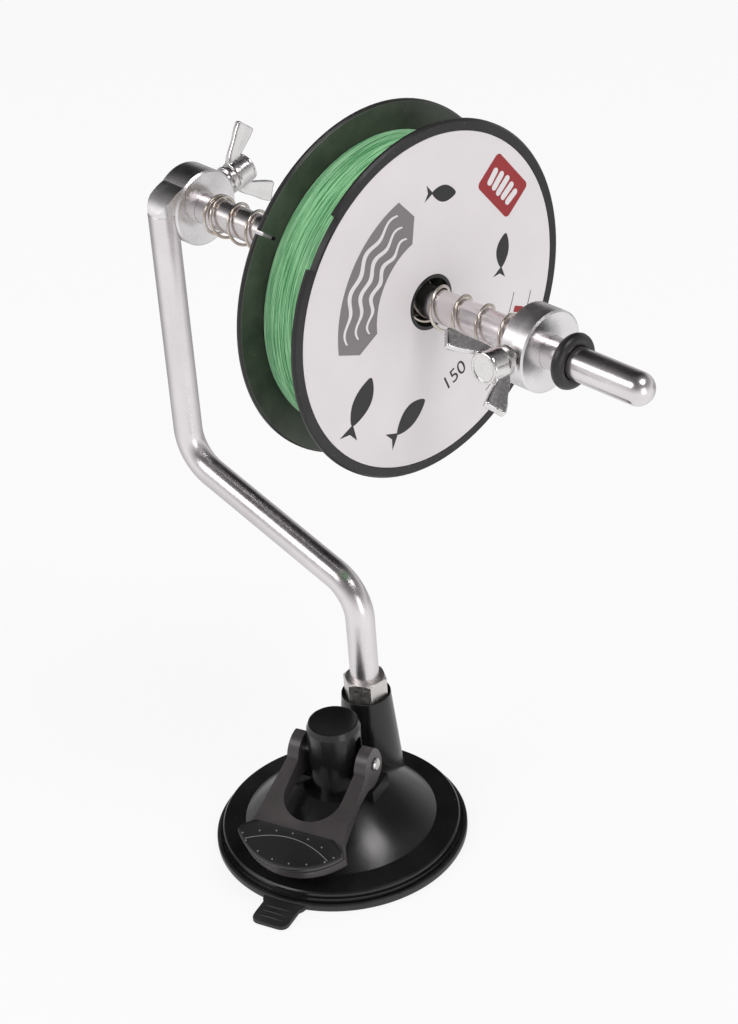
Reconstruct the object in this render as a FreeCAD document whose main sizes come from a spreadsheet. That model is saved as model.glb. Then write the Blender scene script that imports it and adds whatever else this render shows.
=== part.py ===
import FreeCAD, Part
import math
import os

import Sketcher

# Fishing line winder: a suction-cup base with a cranked rod, and a spindle on it that
# carries a spool of line between two springs. Millimetres, +Z up. The origin is the centre
# of the suction cup's resting face, and the spindle lies along +X.

Vector = FreeCAD.Vector
os.makedirs("parts", exist_ok=True)
doc = FreeCAD.newDocument("line_winder")
sheet = doc.addObject("Spreadsheet::Sheet", "sizes")

DRIVING_SIZES = {
    # all over
    "edge_break": 0.5,
    "bore_gap": 0.05,
    "thread_gap": 0.1,
    "sliding_gap": 0.3,
    # suction cup
    "cup_radius": 45.0,
    "cup_rim_height": 2.6,
    "cup_land_width": 7.0,
    "cup_wall": 2.0,
    "cup_hollow_height": 4.4,
    "cup_hollow_radius": 12.0,
    "tab_reach": 57.0,
    "tab_width": 14.0,
    "tab_thickness": 1.8,
    "tab_shoulder": 1.5,
    "tab_corner": 2.5,
    "rim_bead_width": 1.6,
    "rim_bead_height": 0.6,
    "rib_start": 3.2,
    "rib_pitch": 2.6,
    "rib_width": 1.1,
    "rib_height": 0.6,
    # base housing, in a frame whose +X is the lever side
    "front_azimuth": -71.0,
    "skirt_radius": 43.3,
    "skirt_gap": 0.3,
    "skirt_step": 0.7,
    "ledge_height": 4.4,
    "lip_height": 6.4,
    "dome_foot_radius": 34.2,
    "dome_foot_height": 7.8,
    "dome_top_radius": 12.5,
    "dome_top_height": 22.0,
    "dome_curve": 90.0,
    "dome_wall": 2.4,
    "post_foot_radius": 9.3,
    "post_radius": 9.6,
    "post_face_radius": 8.3,
    "post_bevel": 2.4,
    "post_height": 48.8,
    "post_roof": 2.4,
    "stem_radius": 5.9,
    "slot_top": 44.0,
    "land_root": 4.0,
    "land_height": 25.0,
    "land_length": 12.0,
    "land_front": 5.0,
    "land_inner": 8.0,
    "land_outer": 16.4,
    # socket for the rod
    "socket_distance": 25.3,
    "socket_height": 44.0,
    "socket_radius": 8.9,
    "socket_foot_radius": 11.9,
    "socket_foot_height": 8.0,
    "socket_recess_radius": 8.25,
    "socket_recess_depth": 1.5,
    "insert_radius": 6.4,
    "insert_depth": 22.0,
    # lift stem, pin and lever
    "pin_height": 34.0,
    "pin_radius": 1.9,
    "pin_length": 33.0,
    "pin_head_radius": 2.3,
    "pin_head_height": 0.8,
    "lift_travel": 4.0,
    "cam_circle_radius": 2.29,
    "stem_plate_radius": 11.0,
    "stem_plate_thickness": 1.6,
    "lever_slope": 25.0,
    "lever_gap": 11.0,
    "lever_arm_thickness": 4.4,
    "lever_plate_top": 3.0,
    "lever_plate_thickness": 4.0,
    "lever_fork_depth": 29.0,
    "lever_pad_start": 33.5,
    "lever_pad_middle": 38.5,
    "lever_pad_end": 48.6,
    "lever_pad_back_half": 15.5,
    "lever_pad_half": 20.7,
    "lever_pad_height": 1.6,
    "lever_pad_corner": 1.5,
    "lever_pad_taper": 0.6,
    "lever_shoulder": 1.0,
    "lever_shoulder_half": 17.4,
    "lever_plate_root": 6.0,
    "lever_web_reach": 24.0,
    "lever_neck_reach": 7.2,
    "lever_heel_reach": 6.5,
    "lever_heel_drop": 7.6,
    "thumb_pad_thickness": 1.0,
    "knuckle_top": 7.0,
    "knuckle_round": 10.8,
    "knuckle_front_round": 7.6,
    "cam_gap": 0.3,
    # cranked rod and jam nut
    "rod_radius": 5.2,
    "rod_neck_radius": 4.55,
    "rod_reach": 85.0,
    "rod_low_bend": 87.0,
    "rod_crank_angle": 15.14,
    "rod_bend_radius": 15.0,
    "rod_top_rise": 2.2,
    "rod_end_room": 1.5,
    "nut_across_flats": 14.0,
    "nut_height": 8.5,
    "nut_lift": 0.1,
    "nut_corner_drop": 0.7,
    # spindle and collars
    "spindle_height": 205.8,
    "rod_to_spindle": 14.6,
    "spindle_radius": 5.45,
    "spindle_length": 213.6,
    "collar_radius": 13.6,
    "collar_edge": 0.6,
    "rear_collar_length": 12.0,
    "front_collar_length": 10.0,
    "front_collar_to_ring": 18.9,
    "lug_angle": 52.0,
    "arc_ease": 0.005,
    "lug_round": 17.0,
    "ring_to_tip": 31.6,
    "ring_section": 4.3,
    "ring_flat": 0.3,
    "ring_groove_depth": 0.25,
    # wing screws
    "screw_thread_radius": 2.9,
    "screw_tip_gap": 0.08,
    "screw_hub_radius": 5.2,
    "screw_hub_length": 11.5,
    "screw_hub_lift": 0.5,
    "hub_neck_length": 1.3,
    "hub_ring_width": 1.0,
    "hub_groove_width": 1.4,
    "hub_groove_radius": 4.3,
    "wing_half_span": 13.6,
    "wing_root_height": 5.6,
    "wing_lean": 36.0,
    "wing_length": 15.5,
    "wing_root_width": 5.4,
    "wing_tip_width": 7.5,
    "wing_corner": 1.2,
    "wing_thickness": 3.2,
    "rear_screw_tilt": 11.0,
    "front_screw_tilt": 8.0,
    "rear_wing_turn": 100.0,
    "front_wing_turn": 142.0,
    # spool
    "spool_front": 115.3,
    "spool_width": 27.1,
    "flange_radius": 60.2,
    "flange_thickness": 1.75,
    "rim_width": 3.6,
    "label_recess": 0.45,
    "label_thickness": 0.35,
    "barrel_radius": 34.0,
    "barrel_wall": 2.0,
    "hub_radius": 10.8,
    "hub_pocket_radius": 8.3,
    "hub_land": 9.0,
    "running_gap": 0.1,
    "hub_rim": 1.0,
    "rim_edge": 0.7,
    "line_slit_from": 52.4,
    "line_slit_to": 53.6,
    "line_slit_depth": 8.0,
    "lip_gap_from": 40.0,
    "lip_gap_to": 57.5,
    "lip_gap_depth": 2.6,
    "label_gap": 0.2,
    # line
    "line_radius": 51.0,
    "line_diameter": 0.9,
    "line_pitch": 1.36,
    "line_turns": 15.5,
    "line_seat_gap": 0.06,
    "core_gap": 0.05,
    # springs
    "spring_wire": 1.1,
    "spring_radius": 6.7,
    "spring_sag": 0.4,
    "dead_pitch": 1.75,
    "dead_coils": 1.25,
    "rear_spring_start": 11.2,
    "rear_spring_coils": 9.0,
    "front_spring_coils": 4.5,
    "spring_seat_gap": 0.15,
    "spring_end_gap": 0.5,
    "return_wire": 1.2,
    "return_radius": 7.1,
    "return_coils": 2.5,
    "return_dead_coils": 0.5,
}


class Length:
    """A size that carries both its number and the text that the document works it out from."""

    def __init__(self, text, value):
        self.text = text
        self.value = float(value)

    def joined(self, sign, other, value):
        return Length("(%s %s %s)" % (self.text, sign, other.text), value)

    def __add__(self, other):
        other = as_length(other)
        return self.joined("+", other, self.value + other.value)

    def __sub__(self, other):
        other = as_length(other)
        return self.joined("-", other, self.value - other.value)

    def __mul__(self, other):
        other = as_length(other)
        return self.joined("*", other, self.value * other.value)

    def __truediv__(self, other):
        other = as_length(other)
        return self.joined("/", other, self.value / other.value)

    def __radd__(self, other):
        return as_length(other) + self

    def __rsub__(self, other):
        return as_length(other) - self

    def __rmul__(self, other):
        return as_length(other) * self

    def __neg__(self):
        return Length("(-1 * %s)" % self.text, -self.value)


def as_length(number):
    return number if isinstance(number, Length) else Length(repr(float(number)), number)


def sine(angle):
    angle = as_length(angle)
    return Length("sin(%s)" % angle.text, math.sin(math.radians(angle.value)))


def root(square):
    square = as_length(square)
    return Length("sqrt(%s)" % square.text, math.sqrt(square.value))


def cosine(angle):
    angle = as_length(angle)
    return Length("cos(%s)" % angle.text, math.cos(math.radians(angle.value)))


class Sizes:
    """Reads a driving size from the sheet by its name."""

    def __getattr__(self, alias):
        return Length("sizes." + alias, float(sheet.get(alias)))


for row, (alias, number) in enumerate(DRIVING_SIZES.items(), start=1):
    sheet.set("A%d" % row, alias)
    sheet.set("B%d" % row, str(number))
    sheet.setAlias("B%d" % row, alias)
doc.recompute()
s = Sizes()


# Helpers for bodies, sketches and features

def bind(target, prop, size):
    size = as_length(size)
    target.setExpression(prop, size.text)


def new_body(label, x=0, y=0, z=0, turn=None):
    """A body placed at x, y, z and turned about Z by the named angle."""
    body = doc.addObject("PartDesign::Body", label)
    body.Label = label
    place(body, x, y, z, turn)
    return body


def place(target, x=0, y=0, z=0, turn=None):
    x, y, z = as_length(x), as_length(y), as_length(z)
    rotation = FreeCAD.Rotation(Vector(0, 0, 1), turn.value if turn else 0)
    target.Placement = FreeCAD.Placement(Vector(x.value, y.value, z.value), rotation)
    bind(target, "Placement.Base.x", x)
    bind(target, "Placement.Base.y", y)
    bind(target, "Placement.Base.z", z)
    if turn and turn.value:
        bind(target, "Placement.Rotation.Angle", turn)


def new_sketch(body, name, plane, lift=0, tilt=0):
    """A sketch on one of the body's own planes, turned about the plane's own Y and lifted
    along the turned normal."""
    sketch = body.newObject("Sketcher::SketchObject", name)
    support = [f for f in body.Origin.OriginFeatures if f.Role == plane][0]
    sketch.AttachmentSupport = (support, [""])
    sketch.MapMode = "FlatFace"
    lift = as_length(lift)
    tilt = as_length(tilt)
    across = lift * sine(tilt)
    up = lift * cosine(tilt)
    turn = FreeCAD.Rotation(Vector(0, 1, 0), tilt.value)
    sketch.AttachmentOffset = FreeCAD.Placement(Vector(across.value, 0, up.value), turn)
    bind(sketch, "AttachmentOffset.Base.x", across)
    bind(sketch, "AttachmentOffset.Base.z", up)
    if tilt.value:
        bind(sketch, "AttachmentOffset.Rotation.Angle", tilt)
    return sketch


def pin_point(sketch, geometry, corner, x, y):
    """Fixes a corner of the sketch at two named coordinates."""
    for kind, size in (("DistanceX", x), ("DistanceY", y)):
        index = sketch.addConstraint(Sketcher.Constraint(kind, geometry, corner, size.value))
        bind(sketch, "Constraints[%d]" % index, size)


def arc_middle(start, end, radius, side):
    """The middle of the short arc from start to end; side is 1 for a centre on the left."""
    dx, dy = end[0] - start[0], end[1] - start[1]
    chord = math.hypot(dx, dy)
    left = (-dy / chord, dx / chord)
    sagitta = radius - math.sqrt(radius ** 2 - chord ** 2 / 4)
    return (
        (start[0] + end[0]) / 2 - side * left[0] * sagitta,
        (start[1] + end[1]) / 2 - side * left[1] * sagitta,
    )


def outline(sketch, corners, closed=True):
    """Draws an outline. A corner is (x, y), or (x, y, radius, side) where the edge that
    leaves it is an arc."""
    count = len(corners)
    edge_count = count if closed else count - 1
    points = [(as_length(c[0]), as_length(c[1])) for c in corners]
    curved = []
    start_corner = []
    end_corner = []
    for index, corner in enumerate(corners[:edge_count]):
        start = (points[index][0].value, points[index][1].value)
        following = points[(index + 1) % count]
        end = (following[0].value, following[1].value)
        if len(corner) == 2:
            edge = Part.LineSegment(Vector(start[0], start[1], 0), Vector(end[0], end[1], 0))
            start_corner.append(1)
            end_corner.append(2)
        else:
            radius = as_length(corner[2])
            middle = arc_middle(start, end, radius.value, corner[3])
            edge = Part.Arc(
                Vector(start[0], start[1], 0),
                Vector(middle[0], middle[1], 0),
                Vector(end[0], end[1], 0),
            )
            # the sketcher keeps arcs counter-clockwise, so a clockwise one swaps its ends
            start_corner.append(1 if corner[3] > 0 else 2)
            end_corner.append(2 if corner[3] > 0 else 1)
            curved.append((index, radius))
        sketch.addGeometry(edge, False)
    for index in range(count if closed else edge_count - 1):
        following = (index + 1) % count
        sketch.addConstraint(
            Sketcher.Constraint(
                "Coincident", index, end_corner[index], following, start_corner[following]
            )
        )
    for index, (x, y) in enumerate(points[:edge_count]):
        pin_point(sketch, index, start_corner[index], x, y)
    if not closed:
        pin_point(sketch, edge_count - 1, end_corner[-1], points[-1][0], points[-1][1])
    for index, radius in curved:
        number = sketch.addConstraint(Sketcher.Constraint("Radius", index, radius.value))
        bind(sketch, "Constraints[%d]" % number, radius)
    return sketch


def circles(sketch, rounds):
    """Draws circles, each (x, y, radius)."""
    for index, (x, y, radius) in enumerate(rounds):
        x, y, radius = as_length(x), as_length(y), as_length(radius)
        sketch.addGeometry(
            Part.Circle(Vector(x.value, y.value, 0), Vector(0, 0, 1), radius.value), False
        )
        pin_point(sketch, index, 3, x, y)
        number = sketch.addConstraint(Sketcher.Constraint("Radius", index, radius.value))
        bind(sketch, "Constraints[%d]" % number, radius)
    return sketch


def revolve(body, name, sketch, axis, cut=False):
    kind = "PartDesign::Groove" if cut else "PartDesign::Revolution"
    feature = body.newObject(kind, name)
    feature.Profile = sketch
    feature.ReferenceAxis = (sketch, [axis])
    feature.Angle = 360
    return feature


def pad(body, name, sketch, length, both_ways=False, backwards=False):
    feature = body.newObject("PartDesign::Pad", name)
    feature.Profile = sketch
    feature.Length = as_length(length).value
    bind(feature, "Length", length)
    if both_ways:
        feature.SideType = "Symmetric"
    feature.Reversed = backwards
    return feature


def pocket(body, name, sketch, length, both_ways=False, backwards=False):
    feature = body.newObject("PartDesign::Pocket", name)
    feature.Profile = sketch
    feature.Length = as_length(length).value
    bind(feature, "Length", length)
    if both_ways:
        feature.SideType = "Symmetric"
    feature.Reversed = backwards
    return feature


def chamfer(body, name, base, edges, size):
    feature = body.newObject("PartDesign::Chamfer", name)
    feature.Base = (base, edges)
    feature.Size = as_length(size).value
    bind(feature, "Size", size)
    return feature


def edges_where(shape, wanted):
    """Names of the edges whose middle passes the test."""
    names = []
    for number, edge in enumerate(shape.Edges, start=1):
        middle = edge.valueAt((edge.FirstParameter + edge.LastParameter) / 2)
        if wanted(edge, middle):
            names.append("Edge%d" % number)
    return names


# Helpers for coiled wire

def biarc(start, start_way, end, end_way):
    """Two arcs that leave start along start_way and reach end along end_way."""
    chord = end - start
    ways = start_way + end_way
    spread = 2 * (1 - start_way.dot(end_way))
    along = chord.dot(ways)
    reach = (-along + math.sqrt(along ** 2 + spread * chord.dot(chord))) / spread
    first_corner = start + start_way * reach
    second_corner = end - end_way * reach
    joint = (first_corner + second_corner) * 0.5
    edges = []
    for tail, corner, head in ((start, first_corner, joint), (joint, second_corner, end)):
        base = (tail + head) * 0.5
        half = (head - tail).Length / 2
        rise = (corner - base).Length
        turn = 2 * math.atan2(rise, half)
        sagitta = half * math.tan(turn / 4)
        middle = base + (corner - base) * (sagitta / rise)
        edges.append(Part.Arc(tail, middle, head).toShape())
    return edges


def coil_wire(radius, quarter_steps, start_angle, stub):
    """A coil about +X from x = 0: one biarc for each quarter turn, with a straight stub at
    each end. quarter_steps gives how far each quarter turn moves along X."""
    count = len(quarter_steps)
    slopes = [quarter_steps[0]]
    slopes += [(quarter_steps[i] + quarter_steps[i + 1]) / 2 for i in range(count - 1)]
    slopes.append(quarter_steps[-1])
    points = []
    ways = []
    x = 0.0
    for index in range(count + 1):
        angle = start_angle + index * math.pi / 2
        points.append(Vector(x, radius * math.cos(angle), radius * math.sin(angle)))
        climb = slopes[index] / (math.pi / 2)
        way = Vector(climb, -radius * math.sin(angle), radius * math.cos(angle))
        ways.append(way.normalize())
        if index < count:
            x += quarter_steps[index]
    edges = [Part.LineSegment(points[0] - ways[0] * stub, points[0]).toShape()]
    for index in range(count):
        edges += biarc(points[index], ways[index], points[index + 1], ways[index + 1])
    edges.append(Part.LineSegment(points[-1], points[-1] + ways[-1] * stub).toShape())
    return Part.Wire(edges), edges


def least_self_gap(edges, diameter, turn_length):
    """The least gap between stretches of the wire that lie over half a turn apart."""
    points = []
    for edge in edges:
        points += edge.discretize(9)[:-1]
    travelled = [0.0]
    for first, second in zip(points, points[1:]):
        travelled.append(travelled[-1] + (second - first).Length)
    least = float("inf")
    for i, first in enumerate(points):
        for j in range(i + 1, len(points)):
            apart = travelled[j] - travelled[i]
            if apart < turn_length / 2 or apart > 1.6 * turn_length:
                continue
            least = min(least, (points[j] - first).Length)
    return least - diameter


def coiled_tube(label, radius, diameter, quarter_steps, start_angle):
    wire, edges = coil_wire(radius, quarter_steps, start_angle, diameter)
    start = edges[0].valueAt(edges[0].FirstParameter)
    way = edges[0].tangentAt(edges[0].FirstParameter)
    section = Part.Wire(Part.Circle(start, way, diameter / 2).toShape())
    shell = Part.BRepOffsetAPI.MakePipeShell(wire)
    shell.add(section)
    shell.build()
    shell.makeSolid()
    solid = shell.shape()
    gap = least_self_gap(edges, diameter, 2 * math.pi * radius)
    expected = math.pi * diameter ** 2 / 4 * wire.Length
    print("%s: %.1f turns, gap to itself %.2f mm, volume %.4f of section times length"
          % (label, len(quarter_steps) / 4, gap, solid.Volume / expected))
    return solid


def coil_steps(length, coils, dead_turns, dead_pitch):
    """Quarter steps of a spring: close end turns and evenly spaced coils between them."""
    dead = [dead_pitch / 4] * int(round(4 * dead_turns))
    active = int(round(4 * coils))
    free = length - 2 * sum(dead)
    return dead + [free / active] * active + dead


# Places that several pieces share, in the frame of the part

front = s.front_azimuth
socket_x = -(s.socket_distance * cosine(front))
socket_y = -(s.socket_distance * sine(front))
arm_x = socket_x - s.rod_reach
spindle_y = socket_y + s.rod_to_spindle
spindle_z = s.spindle_height
spool_middle = arm_x + s.spool_front - s.spool_width / 2
stem_bore = s.stem_radius + s.sliding_gap
cup_top = s.cup_hollow_height + s.cup_wall
spindle_start = -(s.rear_collar_length / 2)
spindle_end = spindle_start + s.spindle_length
ring_distance = spindle_end - s.ring_to_tip
front_collar_start = ring_distance - s.front_collar_to_ring


# Suction cup: a rubber dish, drawn in the locked state, with a ribbed pull tab

cup = new_body("suction_cup", turn=front)
rubber = outline(new_sketch(cup, "cup_profile", "XZ_Plane"), [
    (0, s.cup_hollow_height),
    (s.cup_hollow_radius, s.cup_hollow_height),
    (s.cup_radius - s.cup_land_width, 0),
    (s.cup_radius - s.edge_break, 0),
    (s.cup_radius, s.edge_break),
    (s.cup_radius, s.cup_rim_height - s.edge_break),
    (s.cup_radius - s.edge_break, s.cup_rim_height),
    (s.cup_radius - s.rim_bead_width, s.cup_rim_height),
    (s.cup_radius - s.rim_bead_width, s.cup_rim_height - s.rim_bead_height),
    (s.cup_radius - s.cup_land_width, s.cup_rim_height - s.rim_bead_height),
    (s.stem_plate_radius + s.edge_break, cup_top),
    (0, cup_top),
])
revolve(cup, "dish", rubber, "V_Axis")
tab_root = s.cup_radius - s.tab_corner
tab_half = s.tab_width / 2
tab_sketch = outline(new_sketch(cup, "tab_outline", "XY_Plane"), [
    (tab_root, -(tab_half + s.tab_shoulder)),
    (s.tab_reach - s.tab_corner, -tab_half),
    (s.tab_reach, -(tab_half - s.tab_corner)),
    (s.tab_reach, tab_half - s.tab_corner),
    (s.tab_reach - s.tab_corner, tab_half),
    (tab_root, tab_half + s.tab_shoulder),
])
pad(cup, "pull_tab", tab_sketch, s.tab_thickness)
rib_half = tab_half - s.tab_corner
for number in range(3):
    rib_start = s.cup_radius + s.rib_start + number * s.rib_pitch
    rib = outline(new_sketch(cup, "tab_rib_%d" % number, "XY_Plane"), [
        (rib_start, -rib_half),
        (rib_start + s.rib_width, -rib_half),
        (rib_start + s.rib_width, rib_half),
        (rib_start, rib_half),
    ])
    pad(cup, "grip_rib_%d" % number, rib, s.tab_thickness + s.rib_height)

# Base housing: dome, centre post with side slots, cam lands and the tapered rod socket

housing = new_body("base_housing", turn=front)
skirt_bottom = s.cup_rim_height + s.skirt_gap
shell_profile = outline(new_sketch(housing, "shell_profile", "XZ_Plane"), [
    (s.skirt_radius, skirt_bottom),
    (s.skirt_radius, s.ledge_height),
    (s.skirt_radius - s.skirt_step, s.ledge_height),
    (s.skirt_radius - s.skirt_step, s.lip_height - s.edge_break),
    (s.skirt_radius - s.skirt_step - s.edge_break, s.lip_height),
    (s.dome_foot_radius, s.dome_foot_height, s.dome_curve, 1),
    (s.dome_top_radius, s.dome_top_height),
    (s.post_foot_radius, s.dome_top_height),
    (s.post_radius, s.post_height - s.post_bevel),
    (s.post_face_radius + s.edge_break, s.post_height - s.edge_break / 2),
    (s.post_face_radius, s.post_height),
    (0, s.post_height),
    (0, s.post_height - s.post_roof),
    (stem_bore, s.post_height - s.post_roof),
    (stem_bore, s.dome_top_height - s.dome_wall),
    (s.dome_top_radius, s.dome_top_height - s.dome_wall, s.dome_curve - s.dome_wall, -1),
    (s.dome_foot_radius, s.dome_foot_height - s.dome_wall),
    (s.skirt_radius - s.dome_wall, s.lip_height - s.dome_wall),
    (s.skirt_radius - s.dome_wall, skirt_bottom),
])
revolve(housing, "shell", shell_profile, "V_Axis")
land_start = s.dome_top_height - s.land_root
for side, hand in ((1, "left"), (-1, "right")):
    land = [
        (-(s.land_length - s.land_front), side * s.land_inner),
        (s.land_front, side * s.land_inner),
        (s.land_front, side * s.land_outer),
        (-(s.land_length - s.land_front), side * s.land_outer),
    ]
    sketch = new_sketch(housing, "land_outline_" + hand, "XY_Plane", land_start)
    outline(sketch, land)
    pad(housing, "cam_land_" + hand, sketch, s.land_height - land_start)
socket = housing.newObject("PartDesign::AdditiveCone", "rod_socket")
bind(socket, "Radius1", s.socket_foot_radius)
bind(socket, "Radius2", s.socket_radius)
bind(socket, "Height", s.socket_height - s.socket_foot_height)
bind(socket, "Placement.Base.x", -s.socket_distance)
bind(socket, "Placement.Base.z", s.socket_foot_height)
recess = circles(new_sketch(housing, "nut_recess_circle", "XY_Plane", s.socket_height), [
    (-s.socket_distance, 0, s.socket_recess_radius),
])
pocket(housing, "nut_recess", recess, s.socket_recess_depth)
insert_hole = circles(new_sketch(housing, "insert_circle", "XY_Plane", s.socket_height), [
    (-s.socket_distance, 0, s.insert_radius),
])
pocket(housing, "insert_hole", insert_hole, s.socket_recess_depth + s.insert_depth)
slot_half = s.pin_radius + s.sliding_gap
slot_bottom = s.pin_height - s.lift_travel - slot_half - s.sliding_gap
slot = outline(new_sketch(housing, "pin_slot_outline", "XZ_Plane"), [
    (-slot_half, slot_bottom),
    (slot_half, slot_bottom),
    (slot_half, s.slot_top - slot_half, slot_half * 1.001, 1),
    (-slot_half, s.slot_top - slot_half),
])
pocket(housing, "pin_slots", slot, 3 * s.post_radius, both_ways=True)

# Threaded insert of the socket

insert_top = s.socket_height - s.socket_recess_depth
insert = new_body("socket_insert", socket_x, socket_y, insert_top - s.insert_depth)
ring = circles(new_sketch(insert, "insert_ring", "XY_Plane"), [
    (0, 0, s.insert_radius - s.bore_gap),
    (0, 0, s.rod_neck_radius + s.thread_gap),
])
pad(insert, "bush", ring, s.insert_depth - s.thread_gap)

# Lift stem, bonded to the cup, and the cross pin that the lever turns on

stem = new_body("lift_stem", turn=front)
stem_top = s.post_height - s.post_roof - s.sliding_gap
stem_profile = outline(new_sketch(stem, "stem_profile", "XZ_Plane"), [
    (0, cup_top),
    (s.stem_plate_radius, cup_top),
    (s.stem_plate_radius, cup_top + s.stem_plate_thickness),
    (s.stem_radius, cup_top + s.stem_plate_thickness),
    (s.stem_radius, stem_top - s.edge_break),
    (s.stem_radius - s.edge_break, stem_top),
    (0, stem_top),
])
revolve(stem, "stem", stem_profile, "V_Axis")
cross_hole = circles(new_sketch(stem, "pin_circle", "XZ_Plane"), [
    (0, s.pin_height, s.pin_radius + s.bore_gap),
])
pocket(stem, "pin_hole", cross_hole, 4 * s.stem_radius, both_ways=True)

pin = new_body("pivot_pin", 0, 0, s.pin_height, front)
head_inner = s.pin_length / 2 - s.pin_head_height
pin_profile = outline(new_sketch(pin, "pin_profile", "YZ_Plane"), [
    (-head_inner, 0),
    (-head_inner, s.pin_radius),
    (head_inner, s.pin_radius),
    (head_inner, s.pin_head_radius),
    (s.pin_length / 2 - s.edge_break, s.pin_head_radius),
    (s.pin_length / 2, s.pin_head_radius - s.edge_break),
    (s.pin_length / 2, 0),
])
revolve(pin, "pin", pin_profile, "H_Axis")

# Lever: two cheeks whose cams ride on the lands, a forked plate and the seat of the pad.
# A cam is the involute of a circle: its height over the land falls evenly with the angle,
# so the stem drops by the circle's radius for each radian that the lever is raised.

lever = new_body("lever", 0, 0, s.pin_height, front)
slope = s.lever_slope
cheek_half = s.lever_gap + s.lever_arm_thickness


def along_plate(distance, above):
    """A point of the sloped lever plate, seen from the side."""
    return (
        distance * cosine(slope) + above * sine(slope),
        above * cosine(slope) - distance * sine(slope),
    )


def cam_point(angle):
    reach = s.pin_height - s.land_height - s.cam_gap - s.cam_circle_radius * math.radians(angle)
    return (
        s.cam_circle_radius * cosine(angle) - reach * sine(angle),
        -(reach * cosine(angle)) - s.cam_circle_radius * sine(angle),
    )


CAM_ANGLES = [96, 72, 48, 24, 0]
cheek = [(0, s.knuckle_top, s.knuckle_round, 1)]
for angle, following in zip(CAM_ANGLES, CAM_ANGLES[1:]):
    radius = s.pin_height - s.land_height - s.cam_gap
    radius = radius - s.cam_circle_radius * math.radians((angle + following) / 2)
    cheek.append(cam_point(angle) + (radius, 1))
cheek.append(cam_point(0))
cheek.append((s.lever_heel_reach, -s.lever_heel_drop))
cheek.append(along_plate(s.lever_web_reach, s.lever_plate_top - s.lever_plate_thickness))
cheek.append(along_plate(s.lever_web_reach, s.lever_plate_top))
cheek.append(along_plate(s.lever_neck_reach, s.lever_plate_top) + (s.knuckle_front_round, 1))
for side, hand in ((1, "left"), (-1, "right")):
    # the side plane's normal points to -Y, so the left cheek lies at a negative lift
    lift = -s.lever_gap if side > 0 else s.lever_gap
    sketch = outline(new_sketch(lever, "cheek_" + hand, "XZ_Plane", lift), cheek)
    pad(lever, "cheek_" + hand, sketch, s.lever_arm_thickness, backwards=side > 0)
plate_sketch = new_sketch(
    lever, "plate_outline", "XY_Plane", s.lever_plate_top - s.lever_plate_thickness, slope
)
fork_straight = s.lever_fork_depth - s.lever_gap
pad_depth = s.lever_pad_end - s.lever_pad_middle
pad_curve = (s.lever_pad_half * s.lever_pad_half + pad_depth * pad_depth) / (2 * pad_depth)
shoulder = s.lever_pad_start - s.lever_shoulder
outline(plate_sketch, [
    (s.lever_plate_root, s.lever_gap),
    (s.lever_plate_root, cheek_half),
    (shoulder, s.lever_shoulder_half),
    (s.lever_pad_middle, s.lever_pad_half, pad_curve, -1),
    (s.lever_pad_end, 0, pad_curve, -1),
    (s.lever_pad_middle, -s.lever_pad_half),
    (shoulder, -s.lever_shoulder_half),
    (s.lever_plate_root, -cheek_half),
    (s.lever_plate_root, -s.lever_gap),
    (fork_straight, -s.lever_gap, s.lever_gap * 1.0001, 1),
    (fork_straight, s.lever_gap),
])
pad(lever, "fork_plate", plate_sketch, s.lever_plate_thickness)


def thumb_outline(inset):
    """The outline of the raised thumb pad, drawn in by the inset."""
    back_half = s.lever_pad_back_half - inset
    pad_half = s.lever_pad_half - inset
    return [
        (s.lever_pad_start + inset, back_half),
        (s.lever_pad_middle - s.lever_pad_corner, pad_half - s.lever_pad_taper),
        (s.lever_pad_middle, pad_half, pad_curve, -1),
        (s.lever_pad_end - inset, 0, pad_curve, -1),
        (s.lever_pad_middle, -pad_half),
        (s.lever_pad_middle - s.lever_pad_corner, -(pad_half - s.lever_pad_taper)),
        (s.lever_pad_start + inset, -back_half),
    ]


seat_root = s.lever_plate_top - s.edge_break
seat_sketch = new_sketch(lever, "pad_seat_outline", "XY_Plane", seat_root, slope)
outline(seat_sketch, thumb_outline(s.sliding_gap))
pad(lever, "pad_seat", seat_sketch, s.lever_pad_height + s.edge_break)
lever_hole = circles(new_sketch(lever, "pin_circle", "XZ_Plane"), [
    (0, 0, s.pin_radius + s.bore_gap),
])
pocket(lever, "pin_hole", lever_hole, 3 * cheek_half, both_ways=True)

thumb_pad = new_body("thumb_pad", 0, 0, s.pin_height, front)
thumb_sketch = new_sketch(
    thumb_pad, "thumb_outline", "XY_Plane", s.lever_plate_top + s.lever_pad_height, slope
)
outline(thumb_sketch, thumb_outline(s.thread_gap))
pad(thumb_pad, "thumb_plate", thumb_sketch, s.thumb_pad_thickness)

# Cranked rod: a threaded neck in the socket, then one bar with two equal bends

rod = new_body("bent_rod", socket_x, socket_y)
nut_bottom = insert_top + s.nut_lift
nut_top = nut_bottom + s.nut_height
neck_start = insert_top - s.insert_depth + s.rod_end_room
neck = circles(new_sketch(rod, "neck_circle", "XY_Plane", neck_start), [
    (0, 0, s.rod_neck_radius),
])
pad(rod, "threaded_neck", neck, nut_top + s.edge_break - neck_start)
crank = s.rod_crank_angle
high_bend = s.rod_low_bend + s.rod_reach * sine(crank) / cosine(crank)
bend_run = s.rod_bend_radius * cosine(crank) / (1 + sine(crank))
path = new_sketch(rod, "rod_path", "XZ_Plane")
outline(path, [
    (0, nut_top),
    (0, s.rod_low_bend - bend_run, s.rod_bend_radius, 1),
    (-(bend_run * cosine(crank)), s.rod_low_bend + bend_run * sine(crank)),
    (bend_run * cosine(crank) - s.rod_reach, high_bend - bend_run * sine(crank),
     s.rod_bend_radius, -1),
    (-s.rod_reach, high_bend + bend_run),
    (-s.rod_reach, spindle_z + s.rod_top_rise),
], closed=False)
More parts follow.
